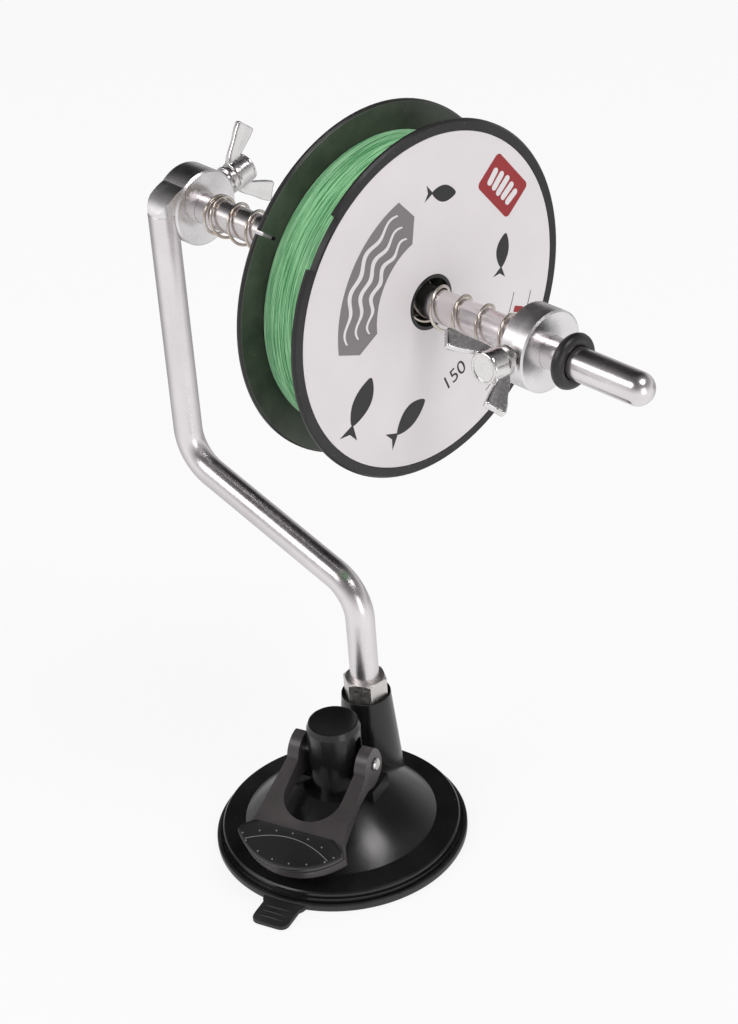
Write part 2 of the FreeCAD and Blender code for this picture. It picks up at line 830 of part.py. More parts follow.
bar_circle = circles(new_sketch(rod, "bar_circle", "XY_Plane", nut_top), [
    (0, 0, s.rod_radius),
])
bar = rod.newObject("PartDesign::AdditivePipe", "bar")
bar.Profile = bar_circle
bar.Spine = path

# Jam nut on the neck, seated in the recess of the socket

nut = new_body("jam_nut", socket_x, socket_y, nut_bottom)
hexagon = new_sketch(nut, "hexagon", "XY_Plane")
corner_radius = s.nut_across_flats / root(3)
outline(hexagon, [
    (corner_radius * cosine(60 * k + 30), corner_radius * sine(60 * k + 30)) for k in range(6)
])
pad(nut, "hexagon_block", hexagon, s.nut_height)
nut_bevel = new_sketch(nut, "nut_bevel_outline", "XZ_Plane")
outline(nut_bevel, [
    (s.nut_across_flats / 2, s.nut_height),
    (s.nut_across_flats / 2, s.nut_height + s.edge_break),
    (corner_radius + s.edge_break, s.nut_height + s.edge_break),
    (corner_radius + s.edge_break, s.nut_height - s.nut_corner_drop),
    (corner_radius, s.nut_height - s.nut_corner_drop),
])
revolve(nut, "nut_bevel", nut_bevel, "V_Axis", cut=True)
thread_hole = circles(new_sketch(nut, "thread_circle", "XY_Plane"), [
    (0, 0, s.rod_neck_radius + s.bore_gap),
])
pocket(nut, "thread_hole", thread_hole, s.nut_height, backwards=True)

# Collars: plain rings, each with a radial threaded hole for its wing screw


def collar(label, x, length, screw_axis, screw_tilt):
    body = new_body(label, x, spindle_y, spindle_z)
    half = length / 2
    bore = s.spindle_radius + s.bore_gap
    ring_profile = outline(new_sketch(body, "ring_profile", "XZ_Plane"), [
        (-half, bore),
        (-half, s.collar_radius - s.collar_edge),
        (s.collar_edge - half, s.collar_radius),
        (half - s.collar_edge, s.collar_radius),
        (half, s.collar_radius - s.collar_edge),
        (half, bore),
    ])
    revolve(body, "ring", ring_profile, "H_Axis")
    hole = body.newObject("PartDesign::SubtractiveCylinder", "screw_hole")
    hole.Placement = FreeCAD.Placement(
        Vector(0, 0, 0), FreeCAD.Rotation(screw_axis, (90 - screw_tilt).value)
    )
    bind(hole, "Placement.Rotation.Angle", 90 - screw_tilt)
    bind(hole, "Radius", s.screw_thread_radius + s.thread_gap)
    bind(hole, "Height", 1.2 * s.collar_radius)
    return body


REAR_SCREW_AXIS = Vector(-1, 0, 0)
FRONT_SCREW_AXIS = Vector(1, 0, 0)
rear_collar = collar("rear_collar", arm_x, s.rear_collar_length, REAR_SCREW_AXIS,
                     s.rear_screw_tilt)
lug_outer = s.rod_to_spindle + s.rod_radius
lug_inner = s.spindle_radius + s.bore_gap
lug_height = s.collar_radius * sine(s.lug_angle)
lug_sketch = outline(new_sketch(rear_collar, "lug_outline", "YZ_Plane"), [
    (-lug_outer, s.rod_top_rise),
    (-lug_inner - s.edge_break, s.rod_top_rise),
    (-lug_inner - s.edge_break, lug_height),
    (-(s.collar_radius * cosine(s.lug_angle)), lug_height, s.lug_round, 1),
])
lug = pad(rear_collar, "rod_lug", lug_sketch, 2 * s.rod_radius, both_ways=True)
corner = lug_outer + s.edge_break
# An arc over half a circle needs a radius a hair over half its chord.
lug_end_radius = s.rod_radius + s.arc_ease
corner_sketch = outline(new_sketch(rear_collar, "lug_end_outline", "XY_Plane", s.rod_top_rise), [
    (-corner, -corner),
    (corner, -corner),
    (corner, -s.rod_to_spindle),
    (s.rod_radius, -s.rod_to_spindle, lug_end_radius, -1),
    (-s.rod_radius, -s.rod_to_spindle),
    (-corner, -s.rod_to_spindle),
])
pocket(rear_collar, "lug_end", corner_sketch, s.collar_radius, backwards=True)
rod_seat = circles(new_sketch(rear_collar, "rod_seat_circle", "XY_Plane", s.rod_top_rise), [
    (0, -s.rod_to_spindle, s.rod_radius + s.bore_gap),
])
pocket(rear_collar, "rod_seat", rod_seat, 2 * s.collar_radius)
front_collar_x = arm_x + front_collar_start + s.front_collar_length / 2
front_collar = collar("front_collar", front_collar_x, s.front_collar_length,
                      FRONT_SCREW_AXIS, s.front_screw_tilt)

# Wing screws, each along the body's own Z from the spindle's axis


def wing_screw(label, x, axis, tilt, wing_turn):
    body = new_body(label, x, spindle_y, spindle_z)
    body.Placement.Rotation = FreeCAD.Rotation(axis, (90 - tilt).value)
    bind(body, "Placement.Rotation.Angle", 90 - tilt)
    tip = s.spindle_radius + s.screw_tip_gap
    base = s.collar_radius + s.screw_hub_lift
    top = base + s.screw_hub_length
    ring_start = base + s.hub_neck_length
    drum_start = ring_start + s.hub_ring_width + s.hub_groove_width
    profile = outline(new_sketch(body, "screw_profile", "XZ_Plane"), [
        (0, tip),
        (s.screw_thread_radius - s.edge_break, tip),
        (s.screw_thread_radius, tip + s.edge_break),
        (s.screw_thread_radius, base),
        (s.hub_groove_radius, base),
        (s.hub_groove_radius, ring_start),
        (s.screw_hub_radius, ring_start),
        (s.screw_hub_radius, ring_start + s.hub_ring_width),
        (s.hub_groove_radius, ring_start + s.hub_ring_width),
        (s.hub_groove_radius, drum_start),
        (s.screw_hub_radius, drum_start),
        (s.screw_hub_radius, top - 2 * s.edge_break, 2 * s.edge_break, 1),
        (s.screw_hub_radius - 2 * s.edge_break, top),
        (0, top),
    ])
    revolve(body, "shank_and_hub", profile, "V_Axis")
    # each ear is a bar that leans away from the hub, with its outer corners cut off
    for side, hand in ((1, "first"), (-1, "second")):
        tip_x = side * s.wing_half_span
        tip_z = top + s.wing_root_height

        def ear_point(inward, across):
            return (
                tip_x - side * (inward * sine(s.wing_lean) - across * cosine(s.wing_lean)),
                tip_z - inward * cosine(s.wing_lean) - across * sine(s.wing_lean),
            )

        half_tip = s.wing_tip_width / 2
        half_root = s.wing_root_width / 2
        sketch = new_sketch(body, "ear_outline_" + hand, "XZ_Plane", tilt=wing_turn)
        outline(sketch, [
            ear_point(s.wing_length, -half_root),
            ear_point(s.wing_length, half_root),
            ear_point(s.wing_corner, half_tip),
            ear_point(as_length(0), half_tip - s.wing_corner),
            ear_point(as_length(0), s.wing_corner - half_tip),
            ear_point(s.wing_corner, -half_tip),
        ])
        pad(body, "ear_" + hand, sketch, s.wing_thickness, both_ways=True)
    return body


wing_screw("rear_wing_screw", arm_x, REAR_SCREW_AXIS, s.rear_screw_tilt, -s.rear_wing_turn)
wing_screw("front_wing_screw", front_collar_x, FRONT_SCREW_AXIS, s.front_screw_tilt,
           s.front_wing_turn)

# Spindle with a round tip, and the rubber ring that stops the front collar

spindle = new_body("spindle", arm_x, spindle_y, spindle_z)
ring_half = s.ring_section / 2
groove_radius = s.spindle_radius - s.ring_groove_depth
ring_sunk = ring_half - s.ring_flat - s.ring_groove_depth
groove_half = root(ring_half * ring_half - ring_sunk * ring_sunk) + s.sliding_gap
spindle_profile = outline(new_sketch(spindle, "spindle_profile", "XZ_Plane"), [
    (spindle_start, 0),
    (spindle_start, s.spindle_radius - s.edge_break),
    (spindle_start + s.edge_break, s.spindle_radius),
    (ring_distance - groove_half, s.spindle_radius),
    (ring_distance - groove_half, groove_radius),
    (ring_distance + groove_half, groove_radius),
    (ring_distance + groove_half, s.spindle_radius),
    (spindle_end - s.spindle_radius, s.spindle_radius, s.spindle_radius, -1),
    (spindle_end, 0),
])
revolve(spindle, "bar", spindle_profile, "H_Axis")

stop_ring = new_body("stop_ring", arm_x + ring_distance, spindle_y, spindle_z)
ring_inner = groove_radius + s.bore_gap
ring_centre = ring_inner + ring_half - s.ring_flat
ring_flat_half = root(
    ring_half * ring_half - (ring_half - s.ring_flat) * (ring_half - s.ring_flat)
)
ring_profile = outline(new_sketch(stop_ring, "ring_profile", "XZ_Plane"), [
    (-ring_flat_half, ring_inner, ring_half, -1),
    (-ring_half, ring_centre, ring_half, -1),
    (0, ring_centre + ring_half, ring_half, -1),
    (ring_half, ring_centre, ring_half, -1),
    (ring_flat_half, ring_inner),
])
revolve(stop_ring, "ring", ring_profile, "H_Axis")

# Spool: two equal moulded halves that meet in the middle, face to face


def spool_half(label, turn, notch_from, notch_to, notch_depth):
    """One half: hub, barrel and flange. The notch in its flange lies between two angles
    from straight up, on the side of the spool that faces -Y."""
    body = new_body(label, spool_middle, spindle_y, spindle_z, as_length(turn))
    half = s.spool_width / 2
    bore = s.spindle_radius + s.running_gap
    face = half - s.label_recess
    inner = face - s.flange_thickness
    rim = s.flange_radius - s.rim_width
    profile = outline(new_sketch(body, "half_profile", "XZ_Plane"), [
        (0, bore),
        (s.hub_land / 2, bore),
        (s.hub_land / 2, s.hub_pocket_radius),
        (half, s.hub_pocket_radius),
        (half, s.hub_pocket_radius + s.hub_rim),
        (face, s.hub_pocket_radius + s.hub_rim),
        (face, rim),
        (half, rim),
        (half, s.flange_radius - s.rim_edge),
        (half - s.rim_edge, s.flange_radius),
        (inner + s.rim_edge, s.flange_radius),
        (inner, s.flange_radius - s.rim_edge),
        (inner, s.barrel_radius),
        (0, s.barrel_radius),
        (0, s.barrel_radius - s.barrel_wall),
        (inner, s.barrel_radius - s.barrel_wall),
        (inner, s.hub_radius),
        (0, s.hub_radius),
    ])
    revolve(body, "half", profile, "H_Axis")
    side = -1 if turn else 1
    inside = s.flange_radius - notch_depth
    outside = 1.1 * s.flange_radius
    notch = new_sketch(body, "notch_outline", "YZ_Plane", inner - s.edge_break)
    outline(notch, [
        (-side * inside * sine(notch_from), inside * cosine(notch_from)),
        (-side * outside * sine(notch_from), outside * cosine(notch_from)),
        (-side * outside * sine(notch_to), outside * cosine(notch_to)),
        (-side * inside * sine(notch_to), inside * cosine(notch_to), inside, -side),
    ])
    pocket(body, "notch", notch, s.flange_thickness + 2 * s.edge_break + s.label_recess,
           backwards=True)
    return body


spool_half("spool_front_half", 0, s.lip_gap_from, s.lip_gap_to, s.lip_gap_depth)
spool_half("spool_rear_half", 180, s.line_slit_from, s.line_slit_to, s.line_slit_depth)

for label, side in (("front_label", 1), ("rear_label", -1)):
    face = s.spool_width / 2 - s.label_recess
    start = spool_middle + face if side > 0 else spool_middle - face - s.label_thickness
    disc = new_body(label, start, spindle_y, spindle_z)
    ring = circles(new_sketch(disc, "label_ring", "YZ_Plane"), [
        (0, 0, s.flange_radius - s.rim_width - s.label_gap),
        (0, 0, s.hub_pocket_radius + s.hub_rim + s.label_gap),
    ])
    pad(disc, "label_disc", ring, s.label_thickness)

# Line: a plain core of wound line with the outer layer of turns on it

winding_width = s.spool_width - 2 * s.label_recess - 2 * s.flange_thickness
line_core = new_body("line_core", spool_middle - winding_width / 2 + s.core_gap, spindle_y,
                     spindle_z)
core_ring = circles(new_sketch(line_core, "core_ring", "YZ_Plane"), [
    (0, 0, s.line_radius - s.line_diameter - s.line_seat_gap),
    (0, 0, s.barrel_radius + s.core_gap),
])
pad(line_core, "core", core_ring, winding_width - 2 * s.core_gap)


def coiled_feature(label, shape, x, y, z, rotation):
    feature = doc.addObject("Part::Feature", label)
    feature.Label = label
    feature.Shape = shape
    feature.Placement = FreeCAD.Placement(Vector(x.value, y.value, z.value), rotation)
    return feature


ALONG_X = FreeCAD.Rotation()
UPRIGHT = FreeCAD.Rotation(Vector(0, 1, 0), -90)
turns = s.line_turns.value
line_steps = [s.line_pitch.value / 4] * int(round(4 * turns))
winding = coiled_tube(
    "line_winding", s.line_radius.value - s.line_diameter.value / 2, s.line_diameter.value,
    line_steps, math.radians(20),
)
coiled_feature("line_winding", winding, spool_middle - s.line_pitch * turns / 2, spindle_y,
               spindle_z, ALONG_X)

# Springs: both hang on the spindle, seated in the spool's hub

wire = s.spring_wire
seat_lift = wire / 2 + s.spring_seat_gap
rear_seat = spool_middle - s.hub_land / 2 - seat_lift
rear_start = arm_x + s.rear_spring_start + wire / 2
front_seat = spool_middle + s.hub_land / 2 + seat_lift
front_end = arm_x + front_collar_start - s.spring_end_gap - wire / 2
for label, start, end, coils in (
    ("rear_spring", rear_start, rear_seat, s.rear_spring_coils),
    ("front_spring", front_seat, front_end, s.front_spring_coils),
):
    length = (end - start).value
    steps = coil_steps(length, coils.value, s.dead_coils.value, s.dead_pitch.value)
    shape = coiled_tube(label, s.spring_radius.value, wire.value, steps, 0.0)
    coiled_feature(label, shape, start, spindle_y, spindle_z - s.spring_sag, ALONG_X)

plate_top = cup_top + s.stem_plate_thickness
roof = s.dome_top_height - s.dome_wall
return_lift = s.return_wire / 2 + s.spring_seat_gap
return_room = roof - plate_top - 2 * return_lift
return_steps = coil_steps(return_room.value, s.return_coils.value, s.return_dead_coils.value,
                          s.return_wire.value + s.edge_break.value)
return_shape = coiled_tube("return_spring", s.return_radius.value, s.return_wire.value,
                           return_steps, 0.0)
coiled_feature("return_spring", return_shape, as_length(0), as_length(0),
               plate_top + return_lift, UPRIGHT)

# Check every object, then write one file for each piece

doc.recompute()
for item in doc.Objects:
    if "Invalid" in item.State or "Error" in item.State:
        raise SystemExit("%s failed: %s" % (item.Name, item.State))
pieces = [item for item in doc.Objects
          if item.TypeId in ("PartDesign::Body", "Part::Feature")]
for piece in pieces:
    shape = piece.Shape
    if shape.isNull() or not shape.isValid():
        raise SystemExit("%s has no valid shape" % piece.Label)
    print("%-18s solids %d volume %.1f" % (piece.Label, len(shape.Solids), shape.Volume))
for piece in pieces:
    piece.Shape.exportStep("parts/%s.step" % piece.Label)
print("%d pieces written" % len(pieces))
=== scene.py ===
import bpy
import bmesh
import math
from mathutils import Matrix, Vector
from mathutils.geometry import tessellate_polygon


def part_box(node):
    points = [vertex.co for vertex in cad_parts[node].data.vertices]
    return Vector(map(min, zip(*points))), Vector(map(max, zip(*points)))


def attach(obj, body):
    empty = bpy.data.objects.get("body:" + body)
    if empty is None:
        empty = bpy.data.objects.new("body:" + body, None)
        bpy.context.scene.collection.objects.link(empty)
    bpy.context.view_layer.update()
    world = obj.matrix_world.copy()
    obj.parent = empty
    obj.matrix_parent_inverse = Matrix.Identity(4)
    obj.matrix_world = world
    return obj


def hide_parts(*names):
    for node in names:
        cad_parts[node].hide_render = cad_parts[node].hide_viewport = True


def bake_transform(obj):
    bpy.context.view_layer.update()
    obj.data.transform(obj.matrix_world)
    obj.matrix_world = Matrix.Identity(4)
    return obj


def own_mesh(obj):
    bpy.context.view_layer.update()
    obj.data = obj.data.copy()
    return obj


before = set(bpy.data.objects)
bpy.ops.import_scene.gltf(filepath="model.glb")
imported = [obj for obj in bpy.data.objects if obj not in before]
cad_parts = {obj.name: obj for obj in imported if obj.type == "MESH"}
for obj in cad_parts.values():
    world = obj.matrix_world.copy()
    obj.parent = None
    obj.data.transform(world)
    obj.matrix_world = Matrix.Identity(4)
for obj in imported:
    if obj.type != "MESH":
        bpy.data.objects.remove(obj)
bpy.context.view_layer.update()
print("frame loaded:", len(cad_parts), "nodes")

mm = 0.001

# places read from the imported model
spindleLow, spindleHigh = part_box("spindle")
collarLow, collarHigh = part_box("front_collar")
rearLow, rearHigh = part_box("rear_collar")
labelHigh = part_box("front_label")[1]
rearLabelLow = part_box("rear_label")[0]
coreLow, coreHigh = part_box("line_core")
windLow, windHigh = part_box("line_winding")
ringLow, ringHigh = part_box("stop_ring")
returnLow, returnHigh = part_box("return_spring")
axisY = (spindleLow.y + spindleHigh.y) / 2
axisZ = (spindleLow.z + spindleHigh.z) / 2
spindleCentre = (0, axisY, axisZ)
leverAzimuth = math.radians(-71)
# level way from the post to the lever
leverSide = Vector((math.cos(leverAzimuth), math.sin(leverAzimuth), 0))
acrossSide = Vector((-leverSide.y, leverSide.x, 0))


def addObject(name, data):
    item = bpy.data.objects.new(name, data)
    bpy.context.scene.collection.objects.link(item)
    return item


# node helpers shared by the stage, the materials and the geometry trees
def fill(tree, node, values):
    # sets a node's inputs: another node's socket is linked, anything else is the value itself
    for socket, value in values.items():
        if isinstance(value, bpy.types.NodeSocket):
            tree.links.new(value, node.inputs[socket])
        else:
            node.inputs[socket].default_value = value


def addNode(tree, kind, values=None, **settings):
    node = tree.nodes.new(kind)
    for name, setting in settings.items():
        setattr(node, name, setting)
    fill(tree, node, values or {})
    return node


def calc(tree, operation, *values):
    return addNode(tree, "ShaderNodeMath", dict(enumerate(values)), operation=operation).outputs[0]


def calcVector(tree, operation, *values):
    node = addNode(tree, "ShaderNodeVectorMath", dict(enumerate(values)), operation=operation)
    return node.outputs["Value" if operation in ("DOT_PRODUCT", "LENGTH") else "Vector"]


def splitPoint(tree, vector):
    return addNode(tree, "ShaderNodeSeparateXYZ", {0: vector}).outputs


def spread(tree, value, low, high, fromLow=0.3, fromHigh=0.7):
    return addNode(tree, "ShaderNodeMapRange", {
        "Value": value, "From Min": fromLow, "From Max": fromHigh, "To Min": low, "To Max": high,
    }).outputs["Result"]


def tint(tree, value, dark, light, fromLow=0.3, fromHigh=0.7):
    ramp = addNode(tree, "ShaderNodeValToRGB", {"Fac": value})
    for stop, place, colour in zip(ramp.color_ramp.elements, (fromLow, fromHigh), (dark, light)):
        stop.position = place
        stop.color = (*colour, 1)
    return ramp.outputs["Color"]


def blendOf(tree, share, first, second):
    mix = addNode(tree, "ShaderNodeMix", {"Factor": share, "A": first, "B": second}, data_type="RGBA")
    return mix.outputs["Result"]


def mixShaders(tree, share, first, second):
    return addNode(tree, "ShaderNodeMixShader", {"Fac": share, 1: first, 2: second}).outputs[0]


def objectPoint(tree, place=(0, 0, 0), scale=(1, 1, 1)):
    return addNode(tree, "ShaderNodeMapping", {
        "Vector": addNode(tree, "ShaderNodeTexCoord").outputs["Object"],
        "Scale": scale,
        "Location": [-middle * size for middle, size in zip(place, scale)],
    }, vector_type="POINT").outputs["Vector"]


def noiseOf(tree, vector, scale, detail=3.0, roughness=0.5):
    return addNode(tree, "ShaderNodeTexNoise", {
        "Vector": vector, "Scale": scale, "Detail": detail, "Roughness": roughness,
    }).outputs["Fac"]


def raiseBump(tree, shader, height, depth):
    bump = addNode(tree, "ShaderNodeBump", {"Height": height, "Distance": depth * mm, "Strength": 1.0})
    fill(tree, shader, {"Normal": bump.outputs["Normal"]})


def newFinish(name, colour, roughness, metallic=0.0, specular=0.5):
    material = bpy.data.materials.new(name)
    material.use_nodes = True
    tree = material.node_tree
    shader = tree.nodes["Principled BSDF"]
    fill(tree, shader, {"Base Color": (*colour, 1), "Roughness": roughness, "Metallic": metallic,
                        "Specular IOR Level": specular})
    return material, tree, shader


# camera, backdrop and lights
cameraView = {
    "place": Vector((563.5, -484.9, 610.2)) * mm,
    "heading": Vector((-0.62458, 0.56466, -0.53950)),
    "roll": -0.077,
    "lens": 93.33,
    "sensor": 36,
    "clip": (0.01, 20),
}


def addCamera(view):
    forward = view["heading"].normalized()
    level = forward.cross(Vector((0, 0, 1))).normalized()
    upward = level.cross(forward)
    cosine, sine = math.cos(view["roll"]), math.sin(view["roll"])
    right = level * cosine + upward * sine
    top = upward * cosine - level * sine
    data = bpy.data.cameras.new("photoCamera")
    data.lens, data.sensor_width = view["lens"], view["sensor"]
    data.clip_start, data.clip_end = view["clip"]
    camera = addObject("photoCamera", data)
    turn = Matrix((right, top, -forward)).transposed()
    camera.matrix_world = Matrix.Translation(view["place"]) @ turn.to_4x4()
    bpy.context.scene.camera = camera


studio = {
    "floorHalf": 3.0,
    "floorDrop": 0.05 * mm,
    "floorColour": (0.82, 0.82, 0.82),
    "floorGlow": 0.84,  # share of plain white that eyes and reflections see, the rest keeps the shadow
    "worldLight": 0.6,
    "backdrop": 1.0,
    # what gloss sees by height, from straight down to straight up
    "glossStops": [(0.0, 0.9), (0.46, 0.92), (0.55, 0.74), (0.66, 0.45), (0.78, 0.18), (1.0, 0.09)],
    "glossTint": (1, 0.985, 0.99),
    "darkWall": (-0.577, 0.515, 0.634),  # way to the dark corner of the room
    "darkFrom": 0.72,
    "darkTo": 0.93,
    "darkLevel": 0.05,
    "floorBack": (-0.75, 0.66, 0),  # reflections of the floor fade this way
    "fadeFrom": -0.02,
    "fadeTo": 0.28,
    "floorDim": 0.34,
    "lampColour": (1, 0.97, 0.975),
}


def seenRays(tree):
    # glossy rays, then 1 for what the camera, reflections or clear parts see and 0 for light
    path = addNode(tree, "ShaderNodeLightPath").outputs
    seen = calc(tree, "MAXIMUM", path["Is Camera Ray"], path["Is Glossy Ray"])
    return path["Is Glossy Ray"], calc(tree, "MAXIMUM", seen, path["Is Transmission Ray"])


def addFloor():
    half = studio["floorHalf"]
    mesh = bpy.data.meshes.new("studioFloor")
    corners = [(-half, -half, 0), (half, -half, 0), (half, half, 0), (-half, half, 0)]
    mesh.from_pydata(corners, [], [(0, 1, 2, 3)])
    floor = addObject("studioFloor", mesh)
    floor.location.z = -studio["floorDrop"]
    material, tree, shader = newFinish("paleFloor", studio["floorColour"], 0.9, specular=0.1)
    glossy, seen = seenRays(tree)
    reach = calcVector(tree, "DOT_PRODUCT", addNode(tree, "ShaderNodeTexCoord").outputs["Object"],
                       studio["floorBack"])
    fade = spread(tree, reach, 0, studio["floorDim"] - 1, studio["fadeFrom"], studio["fadeTo"])
    white = addNode(tree, "ShaderNodeEmission", {
        "Strength": calc(tree, "MULTIPLY_ADD", fade, glossy, studio["backdrop"]),
    })
    share = calc(tree, "MULTIPLY", seen, studio["floorGlow"])
    fill(tree, tree.nodes["Material Output"], {
        "Surface": mixShaders(tree, share, shader.outputs[0], white.outputs[0]),
    })
    mesh.materials.append(material)


def addWorld():
    # even light for the object; reflections see a pale floor and sides under a dark ceiling
    world = bpy.data.worlds.new("studioWorld")
    bpy.context.scene.world = world
    world.use_nodes = True
    tree = world.node_tree
    tree.nodes.clear()
    way = addNode(tree, "ShaderNodeTexCoord").outputs["Generated"]
    height = calc(tree, "MULTIPLY_ADD", splitPoint(tree, way)["Z"], 0.5, 0.5)
    ramp = addNode(tree, "ShaderNodeValToRGB", {"Fac": height})
    ramp.color_ramp.interpolation = "EASE"
    for number, (place, level) in enumerate(studio["glossStops"]):
        stop = ramp.color_ramp.elements[number] if number < 2 else ramp.color_ramp.elements.new(place)
        stop.position = place
        stop.color = [level * part for part in studio["glossTint"]] + [1]
    toDark = calcVector(tree, "DOT_PRODUCT", way, studio["darkWall"])
    dim = spread(tree, toDark, 1, studio["darkLevel"], studio["darkFrom"], studio["darkTo"])
    white = (1, 1, 1, 1)
    plain, seen, gloss = [
        addNode(tree, "ShaderNodeBackground", {"Color": colour, "Strength": strength}).outputs[0]
        for colour, strength in (
            (white, studio["worldLight"]), (white, studio["backdrop"]), (ramp.outputs["Color"], dim),
        )
    ]
    glossyRay, seenRay = seenRays(tree)
    eyes = mixShaders(tree, seenRay, plain, seen)
    addNode(tree, "ShaderNodeOutputWorld", {"Surface": mixShaders(tree, glossyRay, eyes, gloss)})


lamps = [
    # name, place, aims at, width, height, watts
    ("keySoftbox", (-0.35, -0.95, 1.05), (0, 0.02, 0.12), 0.7, 0.5, 4.5),
    ("sideSoftbox", (0.78, 0.24, 1.4), (0, 0.0, 0.1), 0.55, 0.4, 6.0),
    ("labelSoftbox", (1.5, -0.25, 0.35), (0, 0.04, 0.2), 0.6, 0.9, 3.4),
    ("leftSoftbox", (-0.95, -1.0, 1.0), (-0.05, 0.03, 0.2), 0.8, 0.6, 2.0),
]


def addLamps():
    for name, place, target, width, height, watts in lamps:
        data = bpy.data.lights.new(name, "AREA")
        data.shape = "RECTANGLE"
        data.size, data.size_y = width, height
        data.energy = watts
        data.color = studio["lampColour"]
        turn = (Vector(place) - Vector(target)).to_track_quat("Z", "Y").to_matrix()
        addObject(name, data).matrix_world = Matrix.Translation(Vector(place)) @ turn.to_4x4()


addCamera(cameraView)
addFloor()
addWorld()
addLamps()
bpy.context.scene.view_settings.view_transform = "Standard"
print("stage set")


# materials
def mouldedPlastic(name, colour, roughness, grain=0.004, dust=0.05):
    # black moulded plastic: a fine even grain, soft sheen changes and specks of dust
    material, tree, shader = newFinish(name, colour, roughness)
    point = objectPoint(tree)
    cloud = noiseOf(tree, point, 55, 4)
    plain = tint(tree, cloud, [part * 0.8 for part in colour], [part * 1.25 + 0.002 for part in colour])
    specks = spread(tree, noiseOf(tree, point, 1150, 1), 0, 1, 0.77, 0.8)
    fill(tree, shader, {
        "Roughness": spread(tree, cloud, roughness - 0.05, roughness + 0.07),
        "Base Color": blendOf(tree, specks, plain, (dust, dust, dust * 0.98, 1)),
    })
    raiseBump(tree, shader, noiseOf(tree, point, 2600, 2), grain)
    return material


def spoolPlastic(name, colour, middle, inner):
    # moulded plastic, lighter and greenish in cloudy patches on the inner faces beside the line
    material, tree, shader = newFinish(name, colour, 0.36, specular=0.45)
    point = objectPoint(tree, place=(middle, 0, 0))
    away = calc(tree, "ABSOLUTE", splitPoint(tree, point)["X"])
    inside = spread(tree, away, 1, 0, inner, inner + 0.2 * mm)
    cloud = noiseOf(tree, point, 60, 6, 0.65)
    innerPatch = calc(tree, "MULTIPLY", inside, spread(tree, cloud, 0.25, 1))
    innerPatched = blendOf(tree, innerPatch, (*colour, 1), (0.08, 0.1, 0.07, 1))
    specks = spread(tree, noiseOf(tree, point, 900, 2), 0, 1, 0.7, 0.76)
    fill(tree, shader, {
        "Roughness": spread(tree, cloud, 0.3, 0.5),
        "Base Color": blendOf(tree, specks, innerPatched, (0.11, 0.115, 0.1, 1)),
    })
    raiseBump(tree, shader, noiseOf(tree, point, 2400, 2), 0.006)
    return material


def softRubber(name):
    material, tree, shader = newFinish(name, (0.018, 0.018, 0.018), 0.42, specular=0.45)
    point = objectPoint(tree)
    cloud = noiseOf(tree, point, 90, 5)
    fill(tree, shader, {
        "Roughness": spread(tree, cloud, 0.34, 0.55),
        "Base Color": tint(tree, cloud, (0.012, 0.012, 0.012), (0.03, 0.029, 0.028)),
    })
    raiseBump(tree, shader, noiseOf(tree, point, 3200, 2), 0.006)
    return material


def drawnBar(name, along, roughness=0.24):
    # drawn aluminium bar: long fine streaks along the bar and soft cloudy haze
    colour = (0.8, 0.765, 0.775)
    material, tree, shader = newFinish(name, colour, roughness, metallic=1.0)
    stretch = [9 if axis == along else 520 for axis in range(3)]
    streak = noiseOf(tree, objectPoint(tree, scale=stretch), 1.0)
    haze = noiseOf(tree, objectPoint(tree), 70, 4)
    both = calc(tree, "ADD", streak, haze)
    fill(tree, shader, {
        "Roughness": spread(tree, both, roughness - 0.03, roughness + 0.07, 0.7, 1.3),
        "Base Color": tint(tree, haze, [part - 0.06 for part in colour], [part + 0.03 for part in colour]),
    })
    raiseBump(tree, shader, streak, 0.0025)
    return material


def turnedMetal(name, centre):
    # lathe-turned aluminium: fine rings about the spindle's own line, with stretched highlights
    colour, roughness, pitch = (0.83, 0.815, 0.82), 0.24, 0.16 * mm
    material, tree, shader = newFinish(name, colour, roughness, metallic=1.0)
    point = objectPoint(tree, place=centre)
    around = calcVector(tree, "CROSS_PRODUCT", (1, 0, 0), point)  # its length is the distance from the line
    tangent = addNode(tree, "ShaderNodeVectorTransform", {0: calcVector(tree, "NORMALIZE", around)},
                      vector_type="VECTOR", convert_from="OBJECT", convert_to="WORLD")
    onAxis = addNode(tree, "ShaderNodeCombineXYZ", {
        "X": splitPoint(tree, point)["X"], "Y": calcVector(tree, "LENGTH", around),
    })
    rings = noiseOf(tree, onAxis.outputs[0], 1 / pitch, 2, 0.7)
    haze = noiseOf(tree, point, 120, 4)
    fill(tree, shader, {
        "Anisotropic": 0.75,
        "Tangent": tangent.outputs[0],
        "Roughness": spread(tree, haze, roughness - 0.04, roughness + 0.08),
        "Base Color": tint(tree, rings, [part - 0.08 for part in colour], colour),
    })
    raiseBump(tree, shader, rings, 0.006)
    return material


def castMetal(name, colour=(0.82, 0.8, 0.8), roughness=0.15):
    # bright plated casting: uneven skin and small pits
    material, tree, shader = newFinish(name, colour, roughness, metallic=1.0)
    point = objectPoint(tree)
    haze = noiseOf(tree, point, 900)
    fill(tree, shader, {
        "Roughness": spread(tree, haze, roughness - 0.04, roughness + 0.16),
        "Base Color": tint(tree, haze, [part - 0.1 for part in colour], colour),
    })
    raiseBump(tree, shader, noiseOf(tree, point, 260), 0.03)
    return material


def springWire(name):
    # drawn spring wire with a warm brown tinge in patches, a painted warm reflection
    material, tree, shader = newFinish(name, (0.62, 0.58, 0.53), 0.22, metallic=1.0)
    haze = noiseOf(tree, objectPoint(tree), 160)
    fill(tree, shader, {
        "Roughness": spread(tree, haze, 0.17, 0.28),
        # the brown end of this tint is painted warm reflection
        "Base Color": tint(tree, haze, (0.5, 0.42, 0.34), (0.74, 0.71, 0.67)),
    })
    return material


